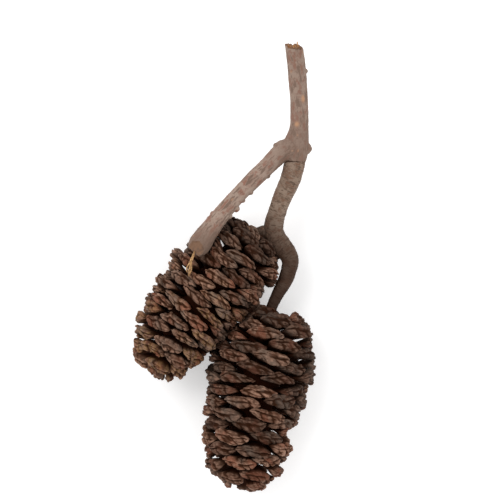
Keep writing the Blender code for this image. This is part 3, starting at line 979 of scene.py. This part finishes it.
@dataclass(frozen=True)
class WoodyCone:
    """One ripe cone: a spindle with woody scales in a spiral round it."""

    node: str
    base: Vector
    tip: Vector
    radius: float
    first_turn: float
    seed: int
    dent_at: float
    dent_turn: float
    dent_depth: float
    surface_per_scale: float
    paler_tip: float
    collar_scales: int
    row_tilt: float
    scale_width: float
    form: ScaleForm = ScaleForm()
    parting: Parting = Parting()

    WIDEST_AT = 0.36
    BASE_BLUNTNESS = 3.0
    TIP_BLUNTNESS = 2.4
    PROFILE_STEPS = 400
    DENT_LENGTH = 0.08
    DENT_SPREAD = math.radians(48.0)
    TURN_BETWEEN_SCALES = math.radians(-137.508)
    FIRST_SCALE_AT = 0.02
    LAST_SCALE_AT = 0.995
    FAN_OF_SCALES = 0.80
    SPINDLE_SHARE = 0.46
    SPINDLE_WAVE = (0.10, 0.92)
    SPINDLE_ENDS = (0.07, 0.90)
    SPINDLE_RINGS = 28
    SPINDLE_SIDES = 40
    # Low, so that the spindle takes the painted shade of the scale roots.
    SPINDLE_SHADE_TONE = 0.15
    SCALE_SUNK = 0.55 * MM
    LEAST_ROOT_RADIUS = 0.10 * MM
    SMALL_END_WIDTH = 0.55
    LOOSE_TILT = math.radians(7.0)
    LOOSE_REACH = 0.062
    LOOSE_TURN = math.radians(2.5)
    LOOSE_PLACE = 0.10 * MM
    SHORTEST_REACH = 0.45
    REACH_STEP = 0.04
    STEM_CLEARANCE = 0.04 * MM
    COLLAR_ROOT_AT = 0.17
    COLLAR_ROOT_RADIUS = 0.80 * MM
    COLLAR_RADIUS = 1.85 * MM
    COLLAR_FLATNESS = 0.50
    COLLAR_TIP_AT = 0.016
    COLLAR_SEED = 1000
    LOOSE_TINT = 0.70
    DEEPEST_PRESS = 0.50 * MM
    BOX_SPARE = 0.02

    @property
    def length(self) -> float:
        """Length of the cone."""
        return (self.tip - self.base).length

    @property
    def axis(self) -> Vector:
        """Direction from the stalk to the tip."""
        return (self.tip - self.base).normalized()

    def envelope_radius(self, share: float) -> float:
        """Distance from the axis to the rims, at a share of the length."""
        if share < self.WIDEST_AT:
            away, bluntness = (self.WIDEST_AT - share) / self.WIDEST_AT, self.BASE_BLUNTNESS
        else:
            away, bluntness = (share - self.WIDEST_AT) / (1.0 - self.WIDEST_AT), self.TIP_BLUNTNESS
        return self.radius * max(1.0 - away ** bluntness, 0.0) ** (1.0 / bluntness)

    def reach_radius(self, share: float, turn: float) -> float:
        """Distance from the axis to one scale's rim, less where the cone is dented."""
        along = (share - self.dent_at) / self.DENT_LENGTH
        around = math.remainder(turn - self.dent_turn, 2.0 * math.pi) / self.DENT_SPREAD
        dent = self.dent_depth * math.exp(-along * along - around * around)
        return self.envelope_radius(share) * (1.0 - dent)

    def scale_shares(self) -> list[float]:
        """Shares of the length that give every scale the same area of the surface."""
        span = self.LAST_SCALE_AT - self.FIRST_SCALE_AT
        shares = [self.FIRST_SCALE_AT + span * step / self.PROFILE_STEPS
                  for step in range(self.PROFILE_STEPS + 1)]
        areas = [0.0]
        for lower, upper in zip(shares, shares[1:]):
            wide = self.envelope_radius(lower) + self.envelope_radius(upper)
            rise = self.envelope_radius(upper) - self.envelope_radius(lower)
            areas.append(areas[-1] + math.pi * wide * math.hypot(rise, (upper - lower) * self.length))
        count = round(areas[-1] / self.surface_per_scale)
        wanted = areas[-1] * (np.arange(count) + 0.5) / count
        return np.interp(wanted, areas, shares).tolist()

    def spindle_radius(self, share: float) -> float:
        """Radius of the woody spindle inside the scales."""
        first, last = self.SPINDLE_WAVE
        wave = math.sin(math.pi * (first + (last - first) * share))
        return self.SPINDLE_SHARE * self.radius * wave

    def spot(self, share: float, turn: float, tilt: float, reach_share: float) -> ScaleSpot:
        """Where one scale stands.

        Args:
            share: Share of the cone's length at its rim.
            turn: Angle round the axis.
            tilt: Turn of the rim about the scale's own direction.
            reach_share: Its length, as a share of the whole.

        Returns:
            The scale's place and directions.
        """
        axis, length = self.axis, self.length
        outward = UP * math.cos(turn) + UP.cross(axis) * math.sin(turn)
        middle = 0.5 + (share - 0.5) * self.FAN_OF_SCALES
        root_radius = max(self.spindle_radius(middle) - self.SCALE_SUNK, self.LEAST_ROOT_RADIUS)
        root = self.base + axis * length * middle + outward * root_radius
        tip = self.base + axis * length * share + outward * self.reach_radius(share, turn)
        along = (tip - root).normalized()
        across = Matrix.Rotation(tilt, 3, along) @ along.cross(axis).normalized()
        roundness = self.envelope_radius(share) / self.radius
        width = self.scale_width * (self.SMALL_END_WIDTH + (1.0 - self.SMALL_END_WIDTH) * roundness)
        reach = (tip - root).length * reach_share
        return ScaleSpot(root, across, along, across.cross(along), width, reach)

    def fitted(self, points: np.ndarray) -> np.ndarray | None:
        """A scale pressed against the other cone, or nothing where it has no room.

        Args:
            points: The scale's points.

        Returns:
            Its points once pressed, or None where it crosses a stem, presses too deep or
            stands out of the part's box.
        """
        points, depth = self.parting.press(points, (self.base + self.tip) / 2)
        low, high = np.array(CAD_BOX[0]), np.array(CAD_BOX[1])
        spare = self.BOX_SPARE * (high - low)
        outside = np.any(points > high + spare) or np.any(points[:, :2] < (low - spare)[:2])
        stems = (MAIN_TWIG, TWIG_TIP, FRUIT_STALK, SIDE_ARM)
        gap = min(stem_gap(points, stem) for stem in stems)
        if outside or depth > self.DEEPEST_PRESS or gap < self.STEM_CLEARANCE:
            return None
        return points

    def grow(self, skin: Skin, place: Callable[[float], ScaleSpot], reach_share: float,
             seeds: tuple[int, int], noise: SolidNoise) -> bool:
        """Add one scale, made shorter until it is clear.

        Args:
            skin: The mesh that it is added to.
            place: Gives the scale's spot for a share of its length.
            reach_share: The share to start from.
            seeds: Seeds of its random numbers.
            noise: What wrinkles it.

        Returns:
            Whether there was room for it.
        """
        while reach_share >= self.SHORTEST_REACH:
            draw = np.random.default_rng(seeds)
            made = self.form.surface(place(reach_share), draw, noise)
            points = self.fitted(made["points"])
            if points is not None:
                skin.add(points, self.form.faces())
                along = (made["points"].mean(axis=0) - np.array(self.base)) @ np.array(self.axis)
                made["tint"] = self.LOOSE_TINT * made["tint"] + self.paler_tip * along / self.length
                for channel, name in ((Channel.RIM, "rim"), (Channel.CREST, "crest"),
                                      (Channel.LOBE_TINT, "lobe_tint"),
                                      (Channel.SCALE_TINT, "tint"), (Channel.PLACE, "place")):
                    skin.carry(channel, made[name])
                return True
            reach_share -= self.REACH_STEP
        return False

    def add_scales(self, skin: Skin) -> int:
        """Grow the scales in their spiral.

        Args:
            skin: The mesh that they are added to.

        Returns:
            How many scales there are.
        """
        loose = random.Random(self.seed)
        loose_share = self.LOOSE_PLACE / self.length
        noise = SolidNoise(self.seed)
        grown = 0
        for index, even_share in enumerate(self.scale_shares()):
            even_turn = self.first_turn + index * self.TURN_BETWEEN_SCALES
            turn = even_turn + loose.uniform(-self.LOOSE_TURN, self.LOOSE_TURN)
            share = min(even_share + loose.uniform(-loose_share, loose_share), self.LAST_SCALE_AT)
            tilt = self.row_tilt + loose.uniform(-self.LOOSE_TILT, self.LOOSE_TILT)
            reach_share = 1.0 + loose.gauss(0.0, self.LOOSE_REACH)
            place = partial(self.spot, share, turn, tilt)
            grown += self.grow(skin, place, reach_share, (self.seed, index), noise)
        for index in range(self.collar_scales):
            turn = self.first_turn + index * self.TURN_BETWEEN_SCALES
            place = partial(self.collar_spot, turn)
            grown += self.grow(skin, place, 1.0, (self.seed, self.COLLAR_SEED + index), noise)
        return grown

    def collar_spot(self, turn: float, reach_share: float) -> ScaleSpot:
        """Where a small scale of the collar round the stalk stands."""
        sideways = UP.cross(self.axis) * math.sin(turn) * self.COLLAR_FLATNESS
        outward = UP * math.cos(turn) + sideways
        root_middle = self.base + self.axis * self.length * self.COLLAR_ROOT_AT
        root = root_middle + outward * self.COLLAR_ROOT_RADIUS
        tip = self.base + self.axis * self.length * self.COLLAR_TIP_AT + outward * self.COLLAR_RADIUS
        along = (tip - root).normalized()
        across = along.cross(self.axis).normalized()
        reach = (tip - root).length * reach_share
        width = self.scale_width * self.SMALL_END_WIDTH
        return ScaleSpot(root, across, along, across.cross(along), width, reach)

    def add_spindle(self, skin: Skin) -> None:
        """Turn the woody middle of the cone."""
        first, last = self.SPINDLE_ENDS
        shares = np.linspace(first, last, self.SPINDLE_RINGS)
        axis = np.array(self.axis)
        side = np.cross(axis, (0.0, 0.0, 1.0))
        other = np.cross(axis, side)
        angle = np.arange(self.SPINDLE_SIDES) * 2.0 * math.pi / self.SPINDLE_SIDES
        ring = np.cos(angle)[:, None] * side + np.sin(angle)[:, None] * other
        radii = np.array([self.spindle_radius(share) for share in shares])
        centres = np.array(self.base) + shares[:, None] * self.length * axis
        points = (centres[:, None] + ring[None] * radii[:, None, None]).reshape(-1, 3)
        skin.add(points, tube_faces(len(points), self.SPINDLE_SIDES))
        # Low values in every channel give the spindle the painted shade of the scale roots.
        for channel in (Channel.RIM, Channel.CREST, Channel.LOBE_TINT, Channel.SCALE_TINT):
            skin.carry(channel, np.full(len(points), self.SPINDLE_SHADE_TONE))
        skin.carry(Channel.PLACE, points / MM)

    def build(self, material: bpy.types.Material) -> bpy.types.Object:
        """Make the cone's mesh.

        Args:
            material: The cone wood.

        Returns:
            The cone as one piece, in place of its node.
        """
        skin = Skin()
        grown = self.add_scales(skin)
        self.add_spindle(skin)
        points = np.vstack(skin.points)
        points[:, 2] = np.maximum(points[:, 2], 0.0)
        skin.points = [points]
        cone = skin.to_object(f"{self.node}_scales")
        cone.data.materials.append(material)
        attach(cone, BODY)
        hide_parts(self.node)
        LOG.info("%s: %d scales, %d faces", cone.name, grown, len(skin.faces))
        return cone


@dataclass(frozen=True)
class Knob:
    """A bud or bump on a stem."""

    centre: Vector
    radius: float


@dataclass(frozen=True)
class Lenticel:
    """A raised corky pore on the bark: where it is and how large."""

    centre: Vector
    half_width: float
    half_length: float
    strength: float = 1.0


@dataclass
class BarkStem:
    """A branching stem in its bark, fused from its limbs and carved."""

    name: str
    node: str
    slot: Slot
    limbs: tuple[tuple[Station, ...], ...]
    seed: int
    knobs: tuple[Knob, ...] = ()
    lenticels: tuple[Lenticel, ...] = ()
    loose_lenticels: int = 0
    ring_height: float = 0.0
    voxel: float = 0.042 * MM
    smoothing: int = 5
    lump_height: float = 0.035 * MM
    wrinkle_height: float = 0.030 * MM
    grit_height: float = 0.008 * MM
    lenticel_height: float = 0.035 * MM
    limb_apart: float = 50.0 * MM
    wrinkle_shift: float = 3.0 * MM
    lump_grain: tuple[float, float, float] = (0.55 * MM, 0.55 * MM, 1.3 * MM)
    wrinkle_grain: tuple[float, float, float] = (0.17 * MM, 0.17 * MM, 0.95 * MM)
    ring_grain: tuple[float, float, float] = (0.70 * MM, 0.70 * MM, 0.075 * MM)
    grit_grain: float = 0.085 * MM

    def rough_object(self) -> bpy.types.Object:
        """All limbs and knobs as crossing closed meshes in one object."""
        skin = Skin()
        for path in self.paths:
            skin.add(*path.tube())
        for knob in self.knobs:
            ball = bmesh.new()
            bmesh.ops.create_icosphere(ball, subdivisions=3, radius=knob.radius)
            points = np.array([vertex.co for vertex in ball.verts]) + np.array(knob.centre)
            skin.add(points, [[vertex.index for vertex in face.verts] for face in ball.faces])
            ball.free()
        return skin.to_object(self.name + "_rough")

    def fused(self) -> bpy.types.Mesh:
        """The limbs fused to one skin, with its steps smoothed away."""
        rough = self.rough_object()
        remesh = rough.modifiers.new("fuse", "REMESH")
        remesh.mode = "VOXEL"
        remesh.voxel_size = self.voxel
        smooth = rough.modifiers.new("smooth", "SMOOTH")
        smooth.iterations = self.smoothing
        evaluated = rough.evaluated_get(bpy.context.evaluated_depsgraph_get())
        mesh = bpy.data.meshes.new_from_object(evaluated)
        bpy.data.objects.remove(rough, do_unlink=True)
        return mesh

    def unrolled(self, points: np.ndarray) -> np.ndarray:
        """Each point's place in its limb as if the limb were straight along Z.

        Args:
            points: Positions, one a row.

        Returns:
            Two offsets from the limb's middle and the length along it, in metres.
        """
        total = sum(len(path.centres) for path in self.paths)
        tree = KDTree(total)
        rows = []
        for limb, path in enumerate(self.paths):
            for sample, centre in enumerate(path.centres):
                tree.insert(centre, len(rows))
                rows.append((limb, sample))
        tree.balance()
        nearest = np.array([rows[tree.find(point)[1]] for point in points])
        places = np.empty_like(points)
        for limb, path in enumerate(self.paths):
            mine = nearest[:, 0] == limb
            sample = nearest[mine, 1]
            away = points[mine] - path.centres[sample]
            along = path.lengths[sample] + np.sum(away * path.tangents[sample], axis=1)
            side = np.sum(away * path.sides[sample], axis=1)
            other = np.sum(away * path.others[sample], axis=1)
            places[mine] = np.stack((side, other, along + limb * self.limb_apart), axis=1)
        return places

    def scattered_lenticels(self, points: np.ndarray) -> list[Lenticel]:
        """Small pores at random places on the bark."""
        draw = np.random.default_rng(self.seed)
        picked = draw.choice(len(points), self.loose_lenticels, replace=False)
        return [Lenticel(Vector(points[index]), draw.uniform(0.04, 0.07) * MM,
                         draw.uniform(0.07, 0.13) * MM, draw.uniform(0.35, 0.8))
                for index in picked]

    def relief(self, places: np.ndarray) -> np.ndarray:
        """Height of the bark's lumps, wrinkles and rings."""
        noise = SolidNoise(self.seed)
        lumps = noise.at(places, self.lump_grain)
        folds = noise.at(places + self.wrinkle_shift, self.wrinkle_grain)
        wrinkles = 1.0 - 2.0 * np.abs(folds)
        grit = noise.at(places, self.grit_grain)
        rings = noise.at(places, self.ring_grain)
        height = self.lump_height * lumps + self.wrinkle_height * wrinkles
        return height + self.grit_height * grit + self.ring_height * rings

    def extra_shape(self, points: np.ndarray, bare: np.ndarray) -> np.ndarray:
        """Cuts and scars that one stem has of its own."""
        return points

    def age(self, points: np.ndarray) -> np.ndarray:
        """How much each point is darkened, from 0 to 1."""
        return np.zeros(len(points))

    def build(self, material: bpy.types.Material) -> bpy.types.Object:
        """Make the stem's mesh.

        Args:
            material: The bark.

        Returns:
            The stem as one piece, in place of its node.
        """
        self.paths = [StemPath(stations) for stations in self.limbs]
        mesh = self.fused()
        count = len(mesh.vertices)
        points, normals = np.empty(count * 3), np.empty(count * 3)
        mesh.vertices.foreach_get("co", points)
        mesh.vertices.foreach_get("normal", normals)
        points, normals = points.reshape(-1, 3), normals.reshape(-1, 3)
        corners = np.empty(len(mesh.loops), dtype=np.int64)
        mesh.loops.foreach_get("vertex_index", corners)
        faces = corners.reshape(-1, 4)
        places = self.unrolled(points)
        height = self.relief(places)
        pores = np.zeros(count)
        for pore in (*self.lenticels, *self.scattered_lenticels(points)):
            home = places[np.argmin(np.linalg.norm(points - np.array(pore.centre), axis=1))]
            away = (places - home) / (pore.half_width, pore.half_width, pore.half_length)
            pores = np.maximum(pores, pore.strength * np.exp(-np.sum(away ** 2, axis=1) ** 1.5))
        points = points + normals * (height * (1.0 - pores) + self.lenticel_height * pores)[:, None]
        bare = np.zeros(count)
        points = self.extra_shape(points, bare)
        skin = Skin()
        skin.add(points, faces)
        skin.carry(Channel.PLACE, places / MM)
        skin.carry(Channel.LENTICEL, pores)
        skin.carry(Channel.AGE, self.age(points))
        skin.carry(Channel.BARE, bare)
        stem = skin.to_object(self.name)
        stem.data.materials.append(material)
        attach(stem, BODY)
        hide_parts(self.node)
        bpy.data.meshes.remove(mesh)
        LOG.info("%s: %d faces", stem.name, len(faces))
        return stem


@dataclass(frozen=True)
class Cut:
    """A flat cut or scar across a stem: a plane, how far it bites and how bare it is."""

    point: Vector
    normal: Vector
    bite: float
    bareness: float
    lip: float
    ragged: float
    ragged_grain: float = 0.16 * MM
    lip_width: float = 0.07 * MM
    edge_width: float = 0.05 * MM

    def apply(self, points: np.ndarray, bare: np.ndarray, noise: SolidNoise) -> np.ndarray:
        """Press the points beyond the plane onto it.

        Args:
            points: Positions, one a row.
            bare: How bare each point is, which is raised on the cut.
            noise: What makes the cut uneven.

        Returns:
            The new positions.
        """
        normal = np.array(self.normal.normalized())
        near = np.linalg.norm(points - np.array(self.point), axis=1) < self.bite
        beyond = (points - np.array(self.point)) @ normal
        beyond += self.ragged * noise.at(points, self.ragged_grain)
        on_cut = near & (beyond > 0.0)
        pressed = points - normal * (np.maximum(beyond, 0.0) * near)[:, None]
        lip = np.exp(-(beyond / self.lip_width) ** 2) * near
        opened = np.where(on_cut, smooth_step(0.0, self.edge_width, beyond), 0.0)
        bare[:] = np.maximum(bare, self.bareness * opened)
        return pressed + normal * (self.lip * lip)[:, None]


@dataclass
class Twig(BarkStem):
    """The older grey twig: broken at its top end, with a leaf scar at its blunt end."""

    broken: Cut = Cut(mm(4.83, 14.64, 5.00), Vector((0.18, 0.93, 0.34)), 0.95 * MM, 1.0,
                      0.02 * MM, 0.16 * MM)
    leaf_scar: Cut = Cut(mm(-1.58, 1.40, 6.36), Vector((-0.36, -0.40, 0.84)), 0.95 * MM, 0.75,
                         0.050 * MM, 0.03 * MM)
    fork_at: float = 3.6 * MM
    fork_blend: float = 1.2 * MM
    fork_zone: tuple[float, float] = (8.6 * MM, 10.0 * MM)
    end_zone: tuple[float, float] = (1.6 * MM, 3.4 * MM)
    main_age: float = 0.37
    fork_age: float = 0.33

    def extra_shape(self, points: np.ndarray, bare: np.ndarray) -> np.ndarray:
        """Break the top end and press the leaf scar."""
        noise = SolidNoise(self.seed + 1)
        points = self.broken.apply(points, bare, noise)
        return self.leaf_scar.apply(points, bare, noise)

    def age(self, points: np.ndarray) -> np.ndarray:
        """Darker on the main twig, most at the fork, and at the blunt end."""
        main = smooth_step(self.fork_at - self.fork_blend, self.fork_at + self.fork_blend, points[:, 0])
        fork = 1.0 - smooth_step(*self.fork_zone, points[:, 1])
        end = 1.0 - smooth_step(*self.end_zone, points[:, 1])
        return main * (self.main_age + self.fork_age * fork) + end


@dataclass
class FruitStalk(BarkStem):
    """The stalk of the cones, darker at the side arm and towards the lower cone: partly darker bark,
    partly painted shade.
    """

    pale_above: float = 4.7 * MM
    dark_below: float = 1.3 * MM
    darkest_below: float = -1.8 * MM
    arm_at: float = 3.7 * MM
    knuckle_at: float = -1.1 * MM
    seam_at: float = 6.99 * MM
    seam_width: float = 0.03 * MM
    knuckle_length: float = 0.35 * MM
    arm_darkening: float = 0.80
    low_darkening: float = 0.20
    knuckle_paling: float = 0.15

    def age(self, points: np.ndarray) -> np.ndarray:
        """Dark from the side arm downwards, partly darker bark and partly painted shade, paler at the
        knuckle, with a painted shadow line at the seam on top.
        """
        along = points[:, 1] + 0.8 * (points[:, 0] - self.arm_at)
        # Partly darker bark and partly painted shade, from the side arm down towards the lower cone.
        darkened = self.arm_darkening - self.arm_darkening * smooth_step(self.dark_below, self.pale_above, along)
        lower = smooth_step(self.darkest_below, self.dark_below, points[:, 1])
        darkened += self.low_darkening - self.low_darkening * lower
        knuckle = np.exp(-((points[:, 1] - self.knuckle_at) / self.knuckle_length) ** 2)
        # Painted shadow line: the stalk goes fully dark above the seam, in the thin band where it meets
        # the twig.
        seam_shadow = smooth_step(self.seam_at, self.seam_at + self.seam_width, points[:, 1])
        return np.maximum(darkened - self.knuckle_paling * knuckle, seam_shadow)


@dataclass(frozen=True)
class Splinters:
    """Broken wood fibres in the twig's end, with one that stands out."""

    centre: Vector = mm(4.80, 14.54, 4.97)
    direction: Vector = Vector((-0.10, 1.0, 0.16))
    radius: float = 0.40 * MM
    count: int = 46
    sunk: float = 0.10 * MM
    spike_thick: float = 0.055 * MM
    spike: Vector = PHOTO.spot(296.6, 42.8, 5.30)
    spike_foot: Vector = PHOTO.spot(297.2, 49.0, 5.22)
    seed: int = 5

    def build(self, material: bpy.types.Material) -> bpy.types.Object:
        """Make the fibres as thin tapering slivers.

        Args:
            material: The broken wood.

        Returns:
            The splinters as one piece.
        """
        draw = np.random.default_rng(self.seed)
        forward = np.array(self.direction.normalized())
        side = np.cross(forward, (0.0, 0.0, 1.0))
        side /= np.linalg.norm(side)
        other = np.cross(side, forward)
        skin = Skin()
        for index in range(self.count):
            radius = self.radius * math.sqrt((index + 0.5) / self.count)
            angle = index * WoodyCone.TURN_BETWEEN_SCALES
            offset = side * radius * math.cos(angle) + other * radius * math.sin(angle)
            tall = draw.uniform(0.04, 0.20) * MM - 0.30 * offset[0] - 0.35 * offset[2]
            start = np.array(self.centre) + offset - forward * self.sunk
            end = start + forward * (self.sunk + tall) + draw.normal(0.0, 0.02, 3) * MM
            self.add_sliver(skin, start, end, draw.uniform(0.04, 0.08) * MM, side, other)
        foot, spike = np.array(self.spike_foot), np.array(self.spike)
        self.add_sliver(skin, foot, spike, self.spike_thick, side, other)
        splinters = skin.to_object("broken_end_splinters")
        splinters.data.materials.append(material)
        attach(splinters, BODY)
        LOG.info("%s: %d slivers", splinters.name, self.count + 1)
        return splinters

    @staticmethod
    def add_sliver(skin: Skin, start: np.ndarray, end: np.ndarray, thick: float,
                   side: np.ndarray, other: np.ndarray) -> None:
        """Add one tapering sliver with six sides."""
        angle = np.arange(6) * math.pi / 3.0
        ring = np.cos(angle)[:, None] * side + 0.6 * np.sin(angle)[:, None] * other
        rings = []
        for share, size in ((0.0, 1.0), (0.6, 0.9), (0.88, 0.6), (1.0, 0.12)):
            rings.append(start + (end - start) * share + ring * thick * size)
        points = np.vstack(rings)
        number = np.arange(len(points)).reshape(-1, 6)
        after = np.roll(number, -1, axis=1)
        quads = np.stack((number[:-1], number[1:], after[1:], after[:-1]), axis=-1)
        skin.add(points, quads.reshape(-1, 4).tolist() + [number[0].tolist(), number[-1][::-1].tolist()])
        skin.carry(Channel.PLACE, points / MM)


@dataclass(frozen=True)
class TornBast:
    """A torn strip of bast that hangs from the blunt end over the side cone, in thin strands."""

    route: tuple[Vector, ...] = (
        PHOTO.spot(195.2, 251.5, 6.25),
        PHOTO.spot(193.6, 256.5, 6.42),
        PHOTO.spot(191.6, 262.0, 6.48),
        PHOTO.spot(190.6, 267.0, 6.45),
        PHOTO.spot(189.8, 271.0, 6.35),
        PHOTO.spot(189.2, 275.0, 6.20),
    )
    strands: int = 7
    spread: tuple[float, ...] = (0.020, 0.030, 0.045, 0.085, 0.070, 0.050)
    thick: float = 0.038 * MM
    seed: int = 8

    def build(self, material: bpy.types.Material) -> bpy.types.Object:
        """Make the strands, each wavering and breaking off where it likes.

        Args:
            material: The torn bast.

        Returns:
            The strip as one piece.
        """
        draw = np.random.default_rng(self.seed)
        noise = SolidNoise(self.seed)
        skin = Skin()
        for _ in range(self.strands):
            last = draw.integers(4, len(self.route) + 1)
            first = draw.integers(0, 2)
            stations = []
            for spread, centre in zip(self.spread[first:last], self.route[first:last]):
                aside = Vector(draw.normal(0.0, 1.0, 3)) * spread * MM
                stations.append((centre + aside, self.thick * draw.uniform(0.6, 1.2)))
            stations[-1] = (stations[-1][0], 0.2 * self.thick)
            points, faces = StemPath(tuple(stations), 0.05 * MM).tube(8)
            points = points + noise.shift(points, 0.12 * MM) * 0.015 * MM
            skin.add(points, faces)
            skin.carry(Channel.PLACE, points / MM)
        strip = skin.to_object("torn_bast")
        strip.data.materials.append(material)
        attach(strip, BODY)
        LOG.info("%s: %d strands", strip.name, self.strands)
        return strip


@dataclass(frozen=True)
class Studio:
    """The pale table, soft lights and the camera above the sprig."""

    middle: Vector = PHOTO.spot(250.0, 250.0)
    lens: float = 240.0
    sensor: float = 36.0
    table_half: float = 0.40
    table_drop: float = 0.01 * MM
    focus_height: float = 3.3 * MM
    table_finish: TableFinish = TableFinish()
    sky_strength: float = 0.82
    lights: tuple[tuple[Vector, float, float], ...] = (
        (Vector((-0.16, 0.14, 0.34)), 0.22, 0.52),
        (Vector((0.20, -0.06, 0.30)), 0.24, 0.18),
    )

    def build(self) -> None:
        """Set the table, the lights and the camera."""
        self.build_table()
        for place, size, power in self.lights:
            self.build_light(place, size, power)
        self.build_sky()
        self.build_camera()
        LOG.info("studio: %d lights", len(self.lights))

    def build_table(self) -> None:
        """Lay the table top just under the sprig."""
        half = self.table_half
        corners = np.array([(-half, -half, 0.0), (half, -half, 0.0), (half, half, 0.0),
                            (-half, half, 0.0)]) - (0.0, 0.0, self.table_drop)
        skin = Skin()
        skin.add(corners, [[0, 1, 2, 3]])
        table = skin.to_object("table_top")
        table.data.materials.append(self.table_finish.material())

    @staticmethod
    def build_light(place: Vector, size: float, power: float) -> None:
        """Hang one soft light that faces the sprig."""
        light = bpy.data.lights.new("soft light", "AREA")
        light.size = size
        light.energy = power
        lamp = bpy.data.objects.new("soft_light", light)
        lamp.location = place
        lamp.rotation_euler = (-place).to_track_quat("-Z", "Y").to_euler()
        bpy.context.scene.collection.objects.link(lamp)

    def build_sky(self) -> None:
        """Light from all round, as in a light tent."""
        world = bpy.data.worlds.new("light tent")
        world.use_nodes = True
        background = world.node_tree.nodes["Background"]
        background.inputs["Color"].default_value = (1.0, 1.0, 1.0, 1.0)
        background.inputs["Strength"].default_value = self.sky_strength
        bpy.context.scene.world = world

    def build_camera(self) -> None:
        """Hang the camera over the middle of the picture, looking straight down."""
        data = bpy.data.cameras.new("camera")
        data.lens = self.lens
        data.sensor_width = self.sensor
        distance = PHOTO.width * self.lens / self.sensor
        data.clip_start = 0.01
        data.clip_end = 10.0
        camera = bpy.data.objects.new("camera", data)
        camera.location = self.middle + UP * (distance + self.focus_height)
        bpy.context.scene.collection.objects.link(camera)
        bpy.context.scene.camera = camera
        bpy.context.scene.view_settings.view_transform = "Standard"


END_CONE = WoodyCone(
    node="cone_end", base=mm(3.30, -2.42, 3.30), tip=mm(1.23, -15.00, 3.30), radius=3.42 * MM,
    first_turn=math.radians(348.0), seed=11, dent_at=0.655, dent_turn=math.radians(84.0),
    dent_depth=0.20, surface_per_scale=2.45 * MM * MM, paler_tip=0.38, collar_scales=0,
    row_tilt=math.radians(4.0), scale_width=2.58 * MM,
    form=ScaleForm(rim_thickness=0.84 * MM))
SIDE_CONE = WoodyCone(
    node="cone_side", base=mm(2.40, 2.60, 3.20), tip=mm(-4.86, -7.00, 3.20), radius=3.28 * MM,
    first_turn=math.radians(322.0), seed=23, dent_at=0.22, dent_turn=math.radians(-84.0),
    dent_depth=0.09, surface_per_scale=2.00 * MM * MM, paler_tip=0.80, collar_scales=9,
    row_tilt=math.radians(8.0), scale_width=2.36 * MM,
    form=ScaleForm(rim_thickness=0.76 * MM))
TWIG = Twig(
    name="twig_bark", node="twig", slot=Slot.GREY_BARK, limbs=(MAIN_TWIG, TWIG_TIP), seed=31,
    knobs=(
        Knob(PHOTO.spot(305.0, 149.0, 4.60), 0.42 * MM),
        Knob(PHOTO.spot(308.8, 149.2, 4.64), 0.20 * MM),
        Knob(PHOTO.spot(305.4, 72.3, 4.92), 0.15 * MM),
        Knob(PHOTO.spot(282.0, 147.4, 4.80), 0.43 * MM),
        Knob(PHOTO.spot(275.6, 146.2, 4.86), 0.14 * MM),
        Knob(PHOTO.spot(267.4, 176.4, 5.02), 0.16 * MM),
        Knob(PHOTO.spot(250.8, 193.0, 5.33), 0.17 * MM),
        Knob(PHOTO.spot(243.2, 200.9, 5.46), 0.15 * MM),
        Knob(PHOTO.spot(236.6, 209.2, 5.56), 0.19 * MM),
        Knob(PHOTO.spot(229.7, 216.4, 5.66), 0.16 * MM),
        Knob(PHOTO.spot(213.2, 214.2, 5.72), 0.19 * MM),
        Knob(PHOTO.spot(209.4, 218.6, 5.76), 0.14 * MM),
    ),
    lenticels=(
        Lenticel(PHOTO.spot(302.5, 100.0, 5.30), 0.13 * MM, 0.24 * MM),
        Lenticel(PHOTO.spot(296.0, 125.0, 5.38), 0.15 * MM, 0.17 * MM),
    ),
    loose_lenticels=26)
STALK = FruitStalk(
    name="fruit_stalk_bark", node="fruit_stalk", slot=Slot.BROWN_BARK,
    limbs=(FRUIT_STALK, SIDE_ARM), seed=37, ring_height=0.012 * MM, wrinkle_height=0.020 * MM,
    loose_lenticels=14)


def main() -> None:
    """Build and dress the sprig, then set the studio round it."""
    logging.basicConfig(level=logging.INFO, format="%(name)s: %(message)s")
    Studio().build()
    effects = WoodEffects()
    cone_wood = ConeWoodFinish().material(effects)
    for cone in (END_CONE, SIDE_CONE):
        cone.build(cone_wood)
    TWIG.build(GREY_BARK.material(effects))
    STALK.build(BROWN_BARK.material(effects))
    Splinters().build(BROKEN_WOOD.material(effects))
    TornBast().build(TORN_BAST.material(effects))
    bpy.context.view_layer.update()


if __name__ == "__main__":
    main()
